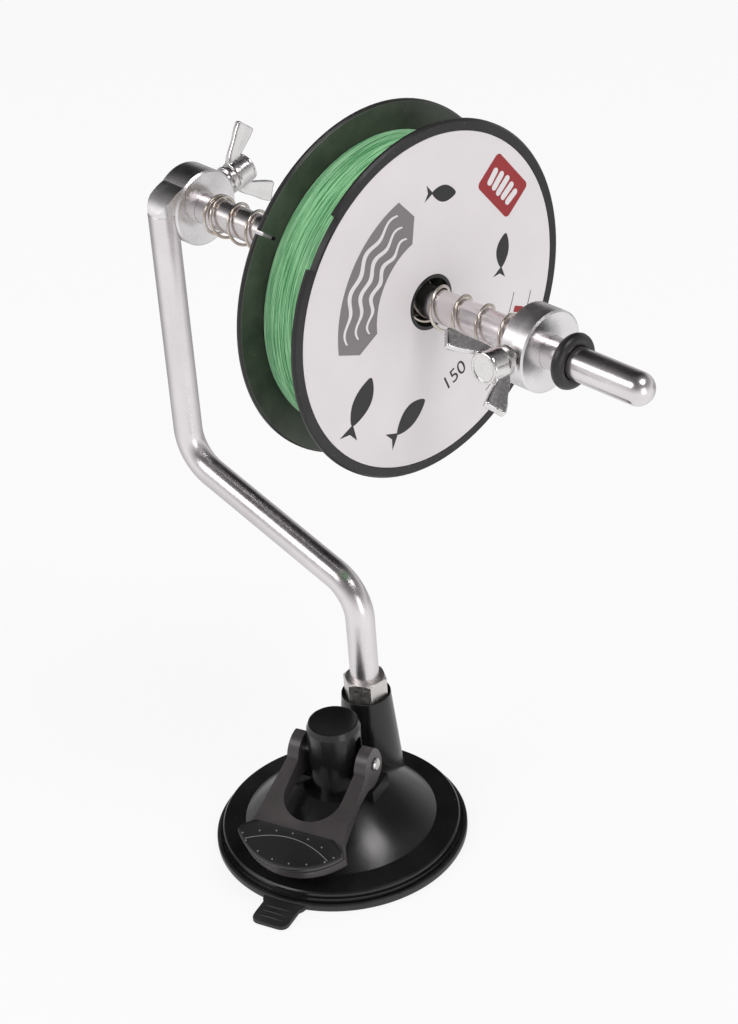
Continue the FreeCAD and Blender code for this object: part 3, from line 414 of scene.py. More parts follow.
def braidedLine(name):
    # green braid: each turn changes a little in colour, with a silky sheen
    material, tree, shader = newFinish(name, (0.1, 0.36, 0.15), 0.42, specular=0.45)
    turnShade = noiseOf(tree, objectPoint(tree, scale=(2600, 45, 45)), 1.0, 3, 0.75)
    fibre = noiseOf(tree, objectPoint(tree), 4200, 2)
    fill(tree, shader, {
        "Base Color": tint(tree, turnShade, (0.07, 0.34, 0.12), (0.52, 0.92, 0.55), 0.36, 0.7),
        "Roughness": spread(tree, fibre, 0.3, 0.55),
        "Sheen Weight": 0.3,
        "Sheen Roughness": 0.3,
    })
    raiseBump(tree, shader, fibre, 0.015)
    return material


def printedCard(name, colour):
    # coated card or ink: a faint cloud and a fine fibre
    material, tree, shader = newFinish(name, colour, 0.42, specular=0.4)
    point = objectPoint(tree)
    cloud = noiseOf(tree, point, 40, 4)
    fill(tree, shader, {
        "Roughness": spread(tree, cloud, 0.36, 0.5),
        "Base Color": tint(tree, cloud, [part * 0.95 for part in colour], colour),
    })
    raiseBump(tree, shader, noiseOf(tree, point, 1500), 0.006)
    return material


finishes = {
    "housing": mouldedPlastic("housingPlastic", (0.007, 0.0068, 0.007), 0.22),
    "lever": mouldedPlastic("leverPlastic", (0.05, 0.044, 0.045), 0.3, 0.006),
    "pad": mouldedPlastic("padPlastic", (0.005, 0.005, 0.005), 0.36, 0.006),
    "spool": spoolPlastic("spoolPlastic", (0.0125, 0.0118, 0.012), (coreLow.x + coreHigh.x) / 2,
                          (coreHigh.x - coreLow.x) / 2 + 0.12 * mm),
    "rubber": softRubber("cupRubber"),
    "ring": mouldedPlastic("ringRubber", (0.013, 0.012, 0.012), 0.34, 0.008),
    # the pad's dots and arc are drawn lighter grey than the pad: painted highlight
    "padDotPaintedHighlight": mouldedPlastic("padEdgePaintedHighlight", (0.16, 0.15, 0.15), 0.3),
    "barUp": drawnBar("rodAluminium", 2, 0.26),
    "barAlong": drawnBar("spindleAluminium", 0),
    "collar": turnedMetal("collarAluminium", spindleCentre),
    "wing": castMetal("wingCasting"),
    "nut": castMetal("nutPlating", (0.74, 0.72, 0.7), 0.36),
    "steel": castMetal("pinSteel", (0.72, 0.71, 0.7), 0.25),
    "brass": castMetal("insertBrass", (0.75, 0.56, 0.26), 0.25),
    "spring": springWire("springSteel"),
    "braid": braidedLine("greenBraid"),
    "card": printedCard("labelCard", (0.8, 0.765, 0.775)),
    "printGrey": printedCard("printGrey", (0.22, 0.205, 0.21)),
    "printWhite": printedCard("printWhite", (0.82, 0.79, 0.8)),
    "printRed": printedCard("printRed", (0.33, 0.022, 0.026)),
    "printBlack": printedCard("printBlack", (0.02, 0.02, 0.02)),
}

finishNodes = {
    "housing": ["base_housing"],
    "brass": ["socket_insert"],
    "pad": ["lift_stem", "thumb_pad"],
    "steel": ["pivot_pin"],
    "lever": ["lever"],
    "barUp": ["bent_rod"],
    "nut": ["jam_nut"],
    "collar": ["rear_collar", "front_collar"],
    "wing": ["rear_wing_screw", "front_wing_screw"],
    "barAlong": ["spindle"],
    "ring": ["stop_ring"],
    "spool": ["spool_rear_half", "spool_front_half"],
    "card": ["rear_label", "front_label"],
    "rubber": ["suction_cup"],
    "spring": ["return_spring", "rear_spring", "front_spring"],
    "braid": ["line_core", "line_winding"],
}
for finishName, nodeNames in finishNodes.items():
    for nodeName in nodeNames:
        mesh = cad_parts[nodeName].data
        mesh.materials.clear()
        mesh.materials.append(finishes[finishName])
print("finishes made:", len(finishes))


# geometry nodes helpers
def newTree(name, floats=(), vectors=(), integers=()):
    tree = bpy.data.node_groups.new(name, "GeometryNodeTree")
    tree.interface.new_socket("Geometry", in_out="OUTPUT", socket_type="NodeSocketGeometry")
    for labels, kind in ((floats, "Float"), (vectors, "Vector"), (integers, "Int")):
        for label in labels:
            tree.interface.new_socket(label, in_out="INPUT", socket_type="NodeSocket" + kind)
    return tree, addNode(tree, "NodeGroupInput").outputs


def settle(carrier, finish):
    # keeps what the modifiers make as a plain mesh with one finish
    bpy.context.view_layer.update()
    made = carrier.evaluated_get(bpy.context.evaluated_depsgraph_get())
    carrier.data = bpy.data.meshes.new_from_object(made)
    carrier.data.name = carrier.name
    carrier.modifiers.clear()
    carrier.data.materials.clear()
    carrier.data.materials.append(finish)


def grow(name, tree, values, finish):
    # runs a tree on an empty mesh; an input that isn't named stays 0
    carrier = addObject(name, bpy.data.meshes.new(name))
    modifier = carrier.modifiers.new("grow", "NODES")
    modifier.node_group = tree
    sockets = {item.name: item.identifier for item in tree.interface.items_tree if item.in_out == "INPUT"}
    for label, value in values.items():
        modifier[sockets[label]] = value
    settle(carrier, finish)
    return carrier


def sweep(tree, path, radius, sides):
    # round, smooth skin along a path
    ring = addNode(tree, "GeometryNodeCurvePrimitiveCircle", {"Resolution": sides, "Radius": radius})
    skin = addNode(tree, "GeometryNodeCurveToMesh", {
        "Curve": path, "Profile Curve": ring.outputs[0], "Fill Caps": True,
    })
    return addNode(tree, "GeometryNodeSetShadeSmooth", {"Geometry": skin.outputs[0]}).outputs[0]


def closeTree(tree, geometry, finish):
    real = addNode(tree, "GeometryNodeRealizeInstances", {0: geometry}).outputs[0]
    painted = addNode(tree, "GeometryNodeSetMaterial", {"Geometry": real, "Material": finish}).outputs[0]
    addNode(tree, "NodeGroupOutput", {0: painted})


def coilTree(name, finish, loose=False):
    # wire on a helix along X: close end turns, open turns between, and an optional wander
    tree, given = newTree(name, (
        "Start", "Length", "Radius", "Wire", "Turns", "EndTurns", "EndPitch", "AxisY", "AxisZ", "Phase",
        "Wander",
    ), integers=("Steps", "Sides"))

    def do(operation, *values):
        return calc(tree, operation, *values)

    def wobble(along, scale, detail):
        return addNode(tree, "ShaderNodeTexNoise", {"W": along, "Scale": scale, "Detail": detail},
                       noise_dimensions="1D").outputs["Fac"]

    line = addNode(tree, "GeometryNodeMeshLine", {"Count": given["Steps"], "Offset": (1, 0, 0)})
    path = addNode(tree, "GeometryNodeMeshToCurve", {0: line.outputs[0]})
    number = addNode(tree, "GeometryNodeInputIndex").outputs[0]
    endTurns, endPitch, wire, radius = given["EndTurns"], given["EndPitch"], given["Wire"], given["Radius"]
    turned = do("MULTIPLY", do("DIVIDE", number, do("SUBTRACT", given["Steps"], 1)), given["Turns"])
    openTurns = do("SUBTRACT", given["Turns"], do("MULTIPLY", endTurns, 2))
    endLength = do("MULTIPLY", endTurns, endPitch)
    openLength = do("SUBTRACT", given["Length"], do("MULTIPLY", endLength, 2))
    first = do("MULTIPLY", do("MINIMUM", turned, endTurns), endPitch)
    afterFirst = do("MAXIMUM", do("SUBTRACT", turned, endTurns), 0)
    second = do("MULTIPLY", do("MINIMUM", afterFirst, openTurns), do("DIVIDE", openLength, openTurns))
    third = do("MULTIPLY", do("MAXIMUM", do("SUBTRACT", afterFirst, openTurns), 0), endPitch)
    travel = do("ADD", do("ADD", first, second), third)
    angle = do("ADD", do("MULTIPLY", turned, 2 * math.pi), given["Phase"])
    if loose:
        drift = do("MULTIPLY", do("SUBTRACT", wobble(turned, 1.7, 1.0), 0.5), given["Wander"])
        travel = do("ADD", travel, drift)
        radius = do("ADD", radius, do("MULTIPLY", wobble(do("ADD", turned, 40), 2.3, 2.0), wire))
    place = addNode(tree, "ShaderNodeCombineXYZ", {
        "X": do("ADD", given["Start"], travel),
        "Y": do("ADD", given["AxisY"], do("MULTIPLY", radius, do("COSINE", angle))),
        "Z": do("ADD", given["AxisZ"], do("MULTIPLY", radius, do("SINE", angle))),
    })
    moved = addNode(tree, "GeometryNodeSetPosition", {
        "Geometry": path.outputs[0], "Position": place.outputs[0],
    })
    closeTree(tree, sweep(tree, moved.outputs[0], do("DIVIDE", wire, 2), given["Sides"]), finish)
    return tree


def bentPath(tree, given, **settings):
    ends = {label: given[label] for label in ("Start", "Middle", "End")}
    return addNode(tree, "GeometryNodeCurveQuadraticBezier", {**ends, **settings}).outputs[0]


def bend(points):
    return dict(zip(("Start", "Middle", "End"), points))


def rowTree(name, finish):
    # one small form repeated along a bent path: grip ribs, raised dots
    tree, given = newTree(name, vectors=("Start", "Middle", "End", "Size", "Turn"), integers=("Count",))
    points = addNode(tree, "GeometryNodeCurveToPoints", {
        "Curve": bentPath(tree, given), "Count": given["Count"],
    })
    bead = addNode(tree, "GeometryNodeMeshUVSphere", {"Segments": 16, "Rings": 10, "Radius": 1})
    smooth = addNode(tree, "GeometryNodeSetShadeSmooth", {"Geometry": bead.outputs[0]})
    copies = addNode(tree, "GeometryNodeInstanceOnPoints", {
        "Points": points.outputs["Points"], "Instance": smooth.outputs[0],
        "Rotation": given["Turn"], "Scale": given["Size"],
    })
    closeTree(tree, copies.outputs[0], finish)
    return tree


def beadTree(name, finish):
    # a thin bead along a bent path
    tree, given = newTree(name, ("Thick",), ("Start", "Middle", "End"))
    closeTree(tree, sweep(tree, bentPath(tree, given, Resolution=40), given["Thick"], 10), finish)
    return tree


# plain mesh helpers
def smoothFaces(mesh, sharpAngle=180):
    for face in mesh.polygons:
        face.use_smooth = True
    mesh.set_sharp_from_angle(angle=math.radians(sharpAngle))


def keepMesh(name, shape, finish, sharpAngle=None):
    bmesh.ops.remove_doubles(shape, verts=shape.verts, dist=1e-7)
    bmesh.ops.recalc_face_normals(shape, faces=shape.faces)
    mesh = bpy.data.meshes.new(name)
    shape.to_mesh(mesh)
    shape.free()
    mesh.materials.append(finish)
    if sharpAngle is not None:
        smoothFaces(mesh, sharpAngle)
    piece = addObject(name, mesh)
    return piece


def skinBetween(shape, loops):
    for first, second in loops:
        for step in range(len(first)):
            following = (step + 1) % len(first)
            shape.faces.new((first[step], first[following], second[following], second[step]))


def addLoft(shape, rings):
    # closed skin over rings of equal count, with both ends filled
    loops = [[shape.verts.new(point) for point in ring] for ring in rings]
    skinBetween(shape, zip(loops, loops[1:]))
    shape.faces.new(loops[0])
    shape.faces.new(loops[-1])


def circle(radius, steps):
    angles = [2 * math.pi * step / steps for step in range(steps)]
    return [(radius * math.cos(angle), radius * math.sin(angle)) for angle in angles]


def addTurned(shape, profile, steps, place):
    # solid of revolution about the local upright line, from (radius, height) pairs
    addLoft(shape, [[place(x, y, height) for x, y in circle(radius, steps)] for radius, height in profile])


def lathe(name, profile, finish, sharpAngle, upright=False, steps=128, centre=(0, 0, 0)):
    # closed profile turned about the spindle's line or about the cup's upright line
    shape = bmesh.new()
    loops = []
    for radius, along in profile:
        points = [(x, y, along) if upright else (along, x, y) for x, y in circle(radius, steps)]
        loops.append([shape.verts.new(Vector(centre) + Vector(point)) for point in points])
    skinBetween(shape, zip(loops, loops[1:] + loops[:1]))
    return keepMesh(name, shape, finish, sharpAngle)


def coilValues(coil, turns, length, radius, **places):
    return {
        "Length": length,
        "Radius": radius,
        "Wire": coil["wire"],
        "Turns": float(turns),
        "EndTurns": coil["endTurns"],
        "EndPitch": coil.get("endPitch", length / turns),
        "Steps": int(turns * coil["stepsPerTurn"]),
        "Sides": coil["sides"],
        **places,
    }


# springs
springs = {
    "wire": 1.1 * mm,
    "endTurns": 1.25,
    "endPitch": 1.75 * mm,
    "turns": {"rear_spring": 11.5, "front_spring": 7.0},
    "stepsPerTurn": 48,
    "sides": 14,
}
wireTree = coilTree("springWinder", finishes["spring"])
springPieces = {}
for nodeName, turns in springs["turns"].items():
    low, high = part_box(nodeName)
    springPieces[nodeName] = grow(nodeName + "_wire", wireTree, coilValues(
        springs, turns, high.x - low.x - springs["wire"], (high.y - low.y - springs["wire"]) / 2,
        Start=low.x + springs["wire"] / 2, AxisY=(low.y + high.y) / 2, AxisZ=(low.z + high.z) / 2,
    ), finishes["spring"])
    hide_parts(nodeName)
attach(springPieces["rear_spring"], "spindle_set")
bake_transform(springPieces["front_spring"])
print("springs wound")

# line: three layers of turns over a solid pack that is slightly fuller in the middle
lineLay = {
    "wire": 0.32 * mm,
    "wander": 2.6 * mm,
    "endTurns": 0.5,
    "stepsPerTurn": 84,
    "sides": 6,
    "packInner": 34.05 * mm,
    "packDepth": 2.9,  # in threads, below the outermost turns
    "packSag": 0.35 * mm,
    "packRows": 24,
}
threadTree = coilTree("lineWinder", finishes["braid"], loose=True)
thread, wander = lineLay["wire"], lineLay["wander"]
lineRadius = (windHigh.y - windLow.y) / 2
lineWidth = coreHigh.x - coreLow.x
layers = [
    # name, depth in threads, turns, wander, phase
    ("line_close_turns", 2.6, 68, 0.0, 0.3),
    ("line_loose_turns", 2.2, 24, wander, 1.9),
    ("line_last_turns", 1.6, 15, 2 * wander, 4.1),
]
linePieces = []
for name, depth, turns, sway, phase in layers:
    inset = sway / 2 + thread
    linePieces.append(grow(name, threadTree, coilValues(
        lineLay, turns, lineWidth - 2 * inset, lineRadius - depth * thread,
        Start=coreLow.x + inset, AxisY=axisY, AxisZ=axisZ, Phase=phase, Wander=sway,
    ), finishes["braid"]))
    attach(linePieces[-1], "spool")
print("line wound")

packRadius = lineRadius - lineLay["packDepth"] * thread
packProfile = [(lineLay["packInner"], coreLow.x)]
for row in range(lineLay["packRows"] + 1):
    share = row / lineLay["packRows"]
    packProfile.append((packRadius - lineLay["packSag"] * (2 * share - 1) ** 4, coreLow.x + share * lineWidth))
packProfile.append((lineLay["packInner"], coreHigh.x))
linePackPiece = lathe("line_pack", packProfile, finishes["braid"], 180, centre=spindleCentre)
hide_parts("line_core")
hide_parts("line_winding")
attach(linePackPiece, "spool")
print("line packed")

# suction cup: a stiff rim with its pull tab, and a dish
cup = {
    "split": 37.9,
    "radius": 45.0,
    "rimHeight": 2.6,
    "rimWidth": 1.6,
    "bandHeight": 2.0,
    "rimCorners": ((1, 0.7), (2, 0.6), (3, 0.45)),
    "hollow": 4.4,
    "wall": 2.0,
    "flatTop": 11.5,
    "dishSteps": 16,
    "seam": 0.05,
    "ripple": 0.12,
    "keepFlat": 0.4,
    "tabRoot": ((43.0, -8.6), (45.6, -7.9)),
    "tabFrom": 47.0,
    "drawFrom": 46,
    "tabReach": 57.0,
    "tabHalf": 7.0,
    "tabCorner": 3.5,
    "tabThick": 1.8,
    "ribs": 3,
    "ribStart": 48.75,
    "ribPitch": 2.6,
    "ribLift": 0.02,
    "ribSize": (0.6, 5.0, 0.56),
}


def softCorner(points, corner, size, steps=4):
    # replaces one corner of a profile by a small curve
    before, at, after = [Vector(points[number % len(points)]) for number in (corner - 1, corner, corner + 1)]
    start = at + (before - at).normalized() * size
    end = at + (after - at).normalized() * size
    curve = []
    for step in range(steps + 1):
        share = step / steps
        curve.append(tuple(start.lerp(at, share).lerp(at.lerp(end, share), share)))
    return curve


def turnCup(name, profile, sharpAngle, steps):
    scaled = [(radius * mm, height * mm) for radius, height in profile]
    return lathe(name, scaled, finishes["rubber"], sharpAngle, upright=True, steps=steps)


lip = cup["radius"] - cup["rimWidth"]
rimOutline = [
    (cup["split"], 0), (cup["radius"], 0), (cup["radius"], cup["rimHeight"]), (lip, cup["rimHeight"]),
    (lip - 0.1, cup["bandHeight"]), (cup["split"], cup["bandHeight"]),
]
rimProfile = [rimOutline[0]]
for corner, size in cup["rimCorners"]:
    rimProfile += softCorner(rimOutline, corner, size)
rimProfile += rimOutline[4:]
cupRim = turnCup("cup_rim", rimProfile, 40, 160)
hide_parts("suction_cup")
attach(cupRim, "base")

hollow, wall = cup["hollow"], cup["wall"]
dishTop, dishUnder = [(0, hollow + wall)], []
for step in range(cup["dishSteps"] + 1):
    share = step / cup["dishSteps"]
    fall = share - math.sin(2 * math.pi * share) / 18
    radius = cup["flatTop"] + share * (cup["split"] + cup["seam"] - cup["flatTop"])
    dishTop.append((radius, hollow + wall - fall * hollow))
    under = hollow * (1 - fall) + (cup["ripple"] * math.sin(share * 26) if 0.1 < share < 0.75 else 0)
    dishUnder.append((radius + 0.5 * (1 - share), max(0, under)))
cupDish = turnCup("cup_dish", dishTop + dishUnder[::-1] + [(0, hollow)], 50, 128)
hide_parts("suction_cup")
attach(cupDish, "base")
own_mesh(cupDish)


def frontPoint(along, across, height):
    # millimetres in the housing's own frame to metres in the part's frame
    return (leverSide * along + acrossSide * across + Vector((0, 0, height))) * mm


tabFrom, tabReach, tabHalf, tabThick = cup["tabFrom"], cup["tabReach"], cup["tabHalf"], cup["tabThick"]
tabOutline = [*cup["tabRoot"], (tabFrom, -tabHalf)]
tabOutline += softCorner([(tabFrom, -tabHalf), (tabReach, -tabHalf), (tabReach, 0)], 1, cup["tabCorner"], 6)
tabOutline += [(x, -y) for x, y in reversed(tabOutline)]
tabRings = []
for height, inset in ((0, 0.35), (0.3, 0), (tabThick - 0.45, 0), (tabThick - 0.12, 0.15), (tabThick, 0.5)):
    # only the tab's free end draws in, its root stays in the rim
    draw = inset / (tabReach - cup["drawFrom"])
    tabRings.append([frontPoint(x - draw * max(0, x - cup["drawFrom"]), y * (1 - inset / tabHalf), height)
                     for x, y in tabOutline])
tabShape = bmesh.new()
addLoft(tabShape, tabRings)
cupTab = keepMesh("cup_tab", tabShape, finishes["rubber"], 35)
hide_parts("suction_cup")
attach(cupTab, "base")

ribReach = (cup["ribs"] - 1) * cup["ribPitch"]
cupRibs = grow("cup_tab_ribs", rowTree("gripRibs", finishes["rubber"]), {
    **bend(frontPoint(cup["ribStart"] + ribReach * share, 0, tabThick + cup["ribLift"])
           for share in (0, 0.5, 1)),
    "Size": tuple(side * mm for side in cup["ribSize"]),
    "Turn": (0, 0, leverAzimuth),
    "Count": cup["ribs"],
}, finishes["rubber"])
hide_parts("suction_cup")
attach(cupRibs, "base")
print("cup moulded")

# return spring under the dome, on the stem
returnCoil = {**springs, "wire": 1.2 * mm, "turns": 3.5, "endTurns": 0.5, "endPitch": 1.3 * mm}
returnWire = grow("return_spring_wire", wireTree, coilValues(
    returnCoil, returnCoil["turns"], returnHigh.z - returnLow.z - returnCoil["wire"],
    (returnHigh.y - returnLow.y - returnCoil["wire"]) / 2,
), finishes["spring"])
returnFoot = returnLow.z + returnCoil["wire"] / 2
returnWire.data.transform(Matrix(((0, 1, 0, 0), (0, 0, 1, 0), (1, 0, 0, returnFoot), (0, 0, 0, 1))))
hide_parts("return_spring")
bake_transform(returnWire)
print("return spring wound")

# rubber ring by the spindle's tip, with the fine moulding seam inside and outside
ring = {"section": 2.15 * mm, "seam": 0.05 * mm, "points": 40}
ringMiddle = (ringLow.x + ringHigh.x) / 2
ringRadius = (ringHigh.y - ringLow.y) / 2 - ring["section"]
ringProfile = []
for step in range(ring["points"]):
    angle = 2 * math.pi * step / ring["points"]
    reach = ring["section"] - (0 if step % (ring["points"] // 2) == 0 else ring["seam"])
    ringProfile.append((ringRadius + reach * math.cos(angle), ringMiddle + reach * math.sin(angle)))
stopRing = lathe("rubber_ring", ringProfile, finishes["ring"], 180, centre=spindleCentre)
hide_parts("stop_ring")
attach(stopRing, "spindle_set")

# wing screws: die-cast, with thick dished ears that run into a lumpy hub
screw = {
    "shankRadius": 2.9,
    "threadPitch": 0.8,
    "threadDepth": 0.38,
    "tip": 5.53,
    "hubBase": 14.1,
    "hubTop": 25.6,
    "hubRadius": 5.2,
    "grooveRadius": 4.3,
    "ringFrom": 15.4,
    "ringTo": 16.4,
    "drumFrom": 17.8,
    "faceRadius": 4.1,
    "faceDepth": 0.45,
    "earPath": [(0, 20.6), (3.2, 20.2), (6.2, 21.6), (9.2, 25.6), (11.6, 28.6), (13.62, 31.2)],
    "earWidth": [2.6, 2.6, 2.3, 2.9, 3.55, 3.7],
    "earThick": [1.9, 1.75, 1.35, 1.3, 1.45, 1.55],
    "earSteps": 22,
    "earSides": 28,
    "squareness": 0.4,
    "dish": 0.26,
    "endFrom": 0.95,
    "endNarrow": 0.12,
    "endThin": 0.16,
    "voxel": 0.26,
    "smoothing": 3,
}


def alongCurve(values, share):
    # smooth value between evenly spaced stops
    place = share * (len(values) - 1)
    first = min(int(place), len(values) - 2)
    rest = place - first
    picked = [values[max(0, min(len(values) - 1, first + offset))] for offset in (-1, 0, 1, 2)]
    p0, p1, p2, p3 = [Vector((value, 0)) if isinstance(value, float) else Vector(value) for value in picked]
    return 0.5 * (2 * p1 + (p2 - p0) * rest + (2 * p0 - 5 * p1 + 4 * p2 - p3) * rest ** 2
                  + (3 * p1 - p0 - 3 * p2 + p3) * rest ** 3)


def earRings(side, place):
    rings = []
    for step in range(screw["earSteps"] + 1):
        share = step / screw["earSteps"]
        middle = alongCurve(screw["earPath"], share)
        ahead = alongCurve(screw["earPath"], min(1, share + 0.01))
        behind = alongCurve(screw["earPath"], max(0, share - 0.01))
        way = (ahead - behind).normalized()
        beside = Vector((-way.y, way.x))
        closing = max(0, (share - screw["endFrom"]) / (1 - screw["endFrom"])) ** 2
        width = alongCurve(screw["earWidth"], share).x * (1 - screw["endNarrow"] * closing)
        thick = alongCurve(screw["earThick"], share).x * (1 - screw["endThin"] * closing)
        ringPoints = []
        for cosine, sine in circle(1, screw["earSides"]):
            across = math.copysign(abs(cosine) ** screw["squareness"], cosine)
            through = math.copysign(abs(sine) ** screw["squareness"], sine)
            hollowed = 1 - screw["dish"] * min(1, max(0, share * 3 - 0.7)) * (1 - across ** 2)
            spot = middle + beside * width * across
            ringPoints.append(place(side * spot.x, thick * through * hollowed, spot.y))
        rings.append(ringPoints)
    return rings


def makeWingScrew(nodeName, centreX, tiltAxis, tiltAngle, wingTurn, body):
    tilt = Matrix.Rotation(math.radians(tiltAngle), 4, Vector(tiltAxis))
    turn = Matrix.Rotation(math.radians(wingTurn), 4, "Z")
    put = Matrix.Translation(Vector((centreX, axisY, axisZ))) @ tilt @ turn

    def place(span, through, height):
        return put @ (Vector((span, through, height)) * mm)

    # ears and drum become one skin
    cast = bmesh.new()
    for side in (1, -1):
        addLoft(cast, earRings(side, place))
    top, radius, drum = screw["hubTop"], screw["hubRadius"], screw["drumFrom"]
    addTurned(cast, [
        (radius - 0.9, drum), (radius - 0.15, drum + 0.25), (radius, drum + 1), (radius, top - 1.2),
        (radius - 0.3, top - 0.5), (radius - 1, top - 0.35),
    ], 48, place)
    bmesh.ops.recalc_face_normals(cast, faces=cast.faces)
    blank = bpy.data.meshes.new(nodeName + "_blank")
    cast.to_mesh(blank)
    cast.free()
    carrier = addObject(nodeName + "_cast", blank)
    remesh = carrier.modifiers.new("oneSkin", "REMESH")
    remesh.mode = "VOXEL"
    remesh.voxel_size = screw["voxel"] * mm
    soften = carrier.modifiers.new("soften", "SMOOTH")
    soften.factor, soften.iterations = 0.5, screw["smoothing"]
    settle(carrier, finishes["wing"])
    smoothFaces(carrier.data)
    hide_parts(nodeName)
    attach(carrier, body)

    # turned parts keep crisp edges: shank with thread, neck ring and the end's rim
    turned = bmesh.new()
    shank, base, groove = screw["shankRadius"], screw["hubBase"], screw["grooveRadius"]
    ringFrom, ringTo = screw["ringFrom"], screw["ringTo"]
    profile = [(0, screw["tip"]), (shank - 0.5, screw["tip"])]
    height = screw["tip"] + screw["threadPitch"] / 2
    while height < base - 0.3:
        profile += [(shank, height), (shank - screw["threadDepth"], height + screw["threadPitch"] / 2)]
        height += screw["threadPitch"]
    profile += [
        (shank - 0.2, base), (groove - 0.2, base), (groove, base + 0.2), (groove, ringFrom),
        (radius - 0.15, ringFrom), (radius, ringFrom + 0.15), (radius, ringTo - 0.15),
        (radius - 0.15, ringTo), (groove, ringTo), (groove, drum + 0.4), (0.01, drum + 0.4),
    ]
    addTurned(turned, profile, 64, place)
    face, floorHeight = screw["faceRadius"], top - screw["faceDepth"]
    addTurned(turned, [
        (0.01, top - 1), (radius - 0.25, top - 1), (radius - 0.05, top - 0.6), (radius - 0.12, top - 0.2),
        (radius - 0.4, top), (face + 0.35, top), (face + 0.05, top - 0.15), (face, floorHeight),
        (face - 0.9, floorHeight - 0.08), (face - 2.2, floorHeight + 0.08), (0.01, floorHeight + 0.14),
    ], 64, place)
    hub = keepMesh(nodeName + "_hub", turned, finishes["wing"], 40)
    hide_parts(nodeName)
    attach(hub, body)


makeWingScrew("rear_wing_screw", (rearLow.x + rearHigh.x) / 2, (-1, 0, 0), 79, -100, "rear_screw")
makeWingScrew("front_wing_screw", (collarLow.x + collarHigh.x) / 2, (1, 0, 0), 82, 142, "front_screw")
print("wing screws cast")

# thumb pad on the lever: straight back edge, bowed front, a raised arc and two rows of dots
pad = {
    "slope": math.radians(25),
    "pinHeight": 34.0,
    "seat": 4.62,
    "top": 5.6,
    "centre": (40.2, 0),
    "bowCentre": 22.34,
    "bowRadius": 26.16,
    "bowHalf": 50.5,
    "bowSteps": 24,
    "backLine": 33.6,
    "backHalf": 15.4,
    "wing": (37.0, 20.0),
    "arc": [(41.6, -16.2), (32.4, 0), (41.6, 16.2)],
    "arcSink": 0.07,
    "arcThick": 0.16,
    "backDots": [(39.8, -17.8), (30.6, 0), (39.8, 17.8)],
    "frontDots": [(42.2, -15.4), (50.6, 0), (42.2, 15.4)],
    "dotSink": 0.02,
    "dotSize": (0.34, 0.34, 0.2),
}


def padPoint(along, across, above):
    level = along * math.cos(pad["slope"]) + above * math.sin(pad["slope"])
    height = above * math.cos(pad["slope"]) - along * math.sin(pad["slope"]) + pad["pinHeight"]
    return frontPoint(level, across, height)


backLine, backHalf, seat, top = pad["backLine"], pad["backHalf"], pad["seat"], pad["top"]
padOutline = softCorner([pad["wing"], (backLine, backHalf), (backLine, 0)], 1, 1.0)
padOutline += [(along, -across) for along, across in reversed(padOutline)]
wingAlong, wingAcross = pad["wing"][0] - 0.1, pad["wing"][1] - 0.1
padOutline += [(wingAlong, -wingAcross)]
for step in range(pad["bowSteps"] + 1):
    angle = math.radians(-pad["bowHalf"] + step * 2 * pad["bowHalf"] / pad["bowSteps"])
    padOutline.append((pad["bowCentre"] + pad["bowRadius"] * math.cos(angle),
                       pad["bowRadius"] * math.sin(angle)))
padOutline += [(wingAlong, wingAcross)]
padCentre = Vector(pad["centre"])
padShape = bmesh.new()
padRings = []
for above, inset in ((seat, 0.12), (seat + 0.12, 0), (top - 0.32, 0), (top - 0.1, 0.12), (top, 0.42),
                     (top - 0.02, 1.6), (top - 0.06, 3.0)):
    padRing = []
    for spot in padOutline:
        away = Vector(spot) - padCentre
        away = away * (1 - inset / max(4.0, away.length))
        padRing.append(padPoint(padCentre.x + away.x, padCentre.y + away.y, above))
    padRings.append(padRing)
addLoft(padShape, padRings)
thumbTop = keepMesh("thumb_pad_top", padShape, finishes["pad"], 35)
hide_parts("thumb_pad")
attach(thumbTop, "lever_arm")

# the dots and the arc carry a painted highlight in their lighter grey
dotTree = rowTree("padDots", finishes["padDotPaintedHighlight"])
dotTurn = (Matrix.Rotation(leverAzimuth, 4, "Z") @ Matrix.Rotation(pad["slope"], 4, "Y")).to_euler()
for rowName, count in (("backDots", 7), ("frontDots", 6)):
    dots = grow("pad_" + rowName, dotTree, {
        **bend(padPoint(*spot, top - pad["dotSink"]) for spot in pad[rowName]),
        "Size": tuple(side * mm for side in pad["dotSize"]),
        "Turn": tuple(dotTurn), "Count": count,
    }, finishes["padDotPaintedHighlight"])
    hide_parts("thumb_pad")
    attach(dots, "lever_arm")
padArc = grow("pad_arc", beadTree("padArc", finishes["padDotPaintedHighlight"]), {
    **bend(padPoint(*spot, top - pad["arcSink"]) for spot in pad["arc"]),
    "Thick": pad["arcThick"] * mm,
}, finishes["padDotPaintedHighlight"])
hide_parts("thumb_pad")
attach(padArc, "lever_arm")
print("thumb pad moulded")

# label print: generic shapes in grey, white, red and black, laid on the card in two layers
labelPrint = {
    "lift": 0.035,
    "sink": 0.02,
    "band": (24.5, 41.5, 106, 182),
    "bandPoint": 7,
    "waves": 3,
    "waveInset": (3.4, 3),
    "wavePitch": 4.9,
    "redAngle": 38.5,
    "redDistance": 44.8,
    "redSize": (21.0, 13.5, 1.8),
    "barAngles": (-8.4, -4.2, 0, 4.2, 8.4),
    "barSize": (2.4, 7.6, 1.1),
    "barShrink": 0.16,
    "fish": [((-33.5, -24.5), 21, 62, 0.1), ((-14.5, -37.0), 19, 20, -0.1),
             ((6.8, 35.4), 14, -14, 0.08), ((33.0, 3.5), 15, 70, -0.08)],
    "stripAngles": range(-58, -22, 4),
    "stripBlock": (44.5, 2.2, 4.4, 0.4),
    "hairLines": [(48.6, 48.9, -62, -18), (40.1, 40.4, -62, -18)],
    "number": "150",
    "numberSize": 7.5,
    "frontNumber": ((8.5, -31.0), 22),
    "rearNumber": ((0, -36.0), 0),
    "rearBlock": (30, 42),
    "rearStarts": (60, 180, 300),
}


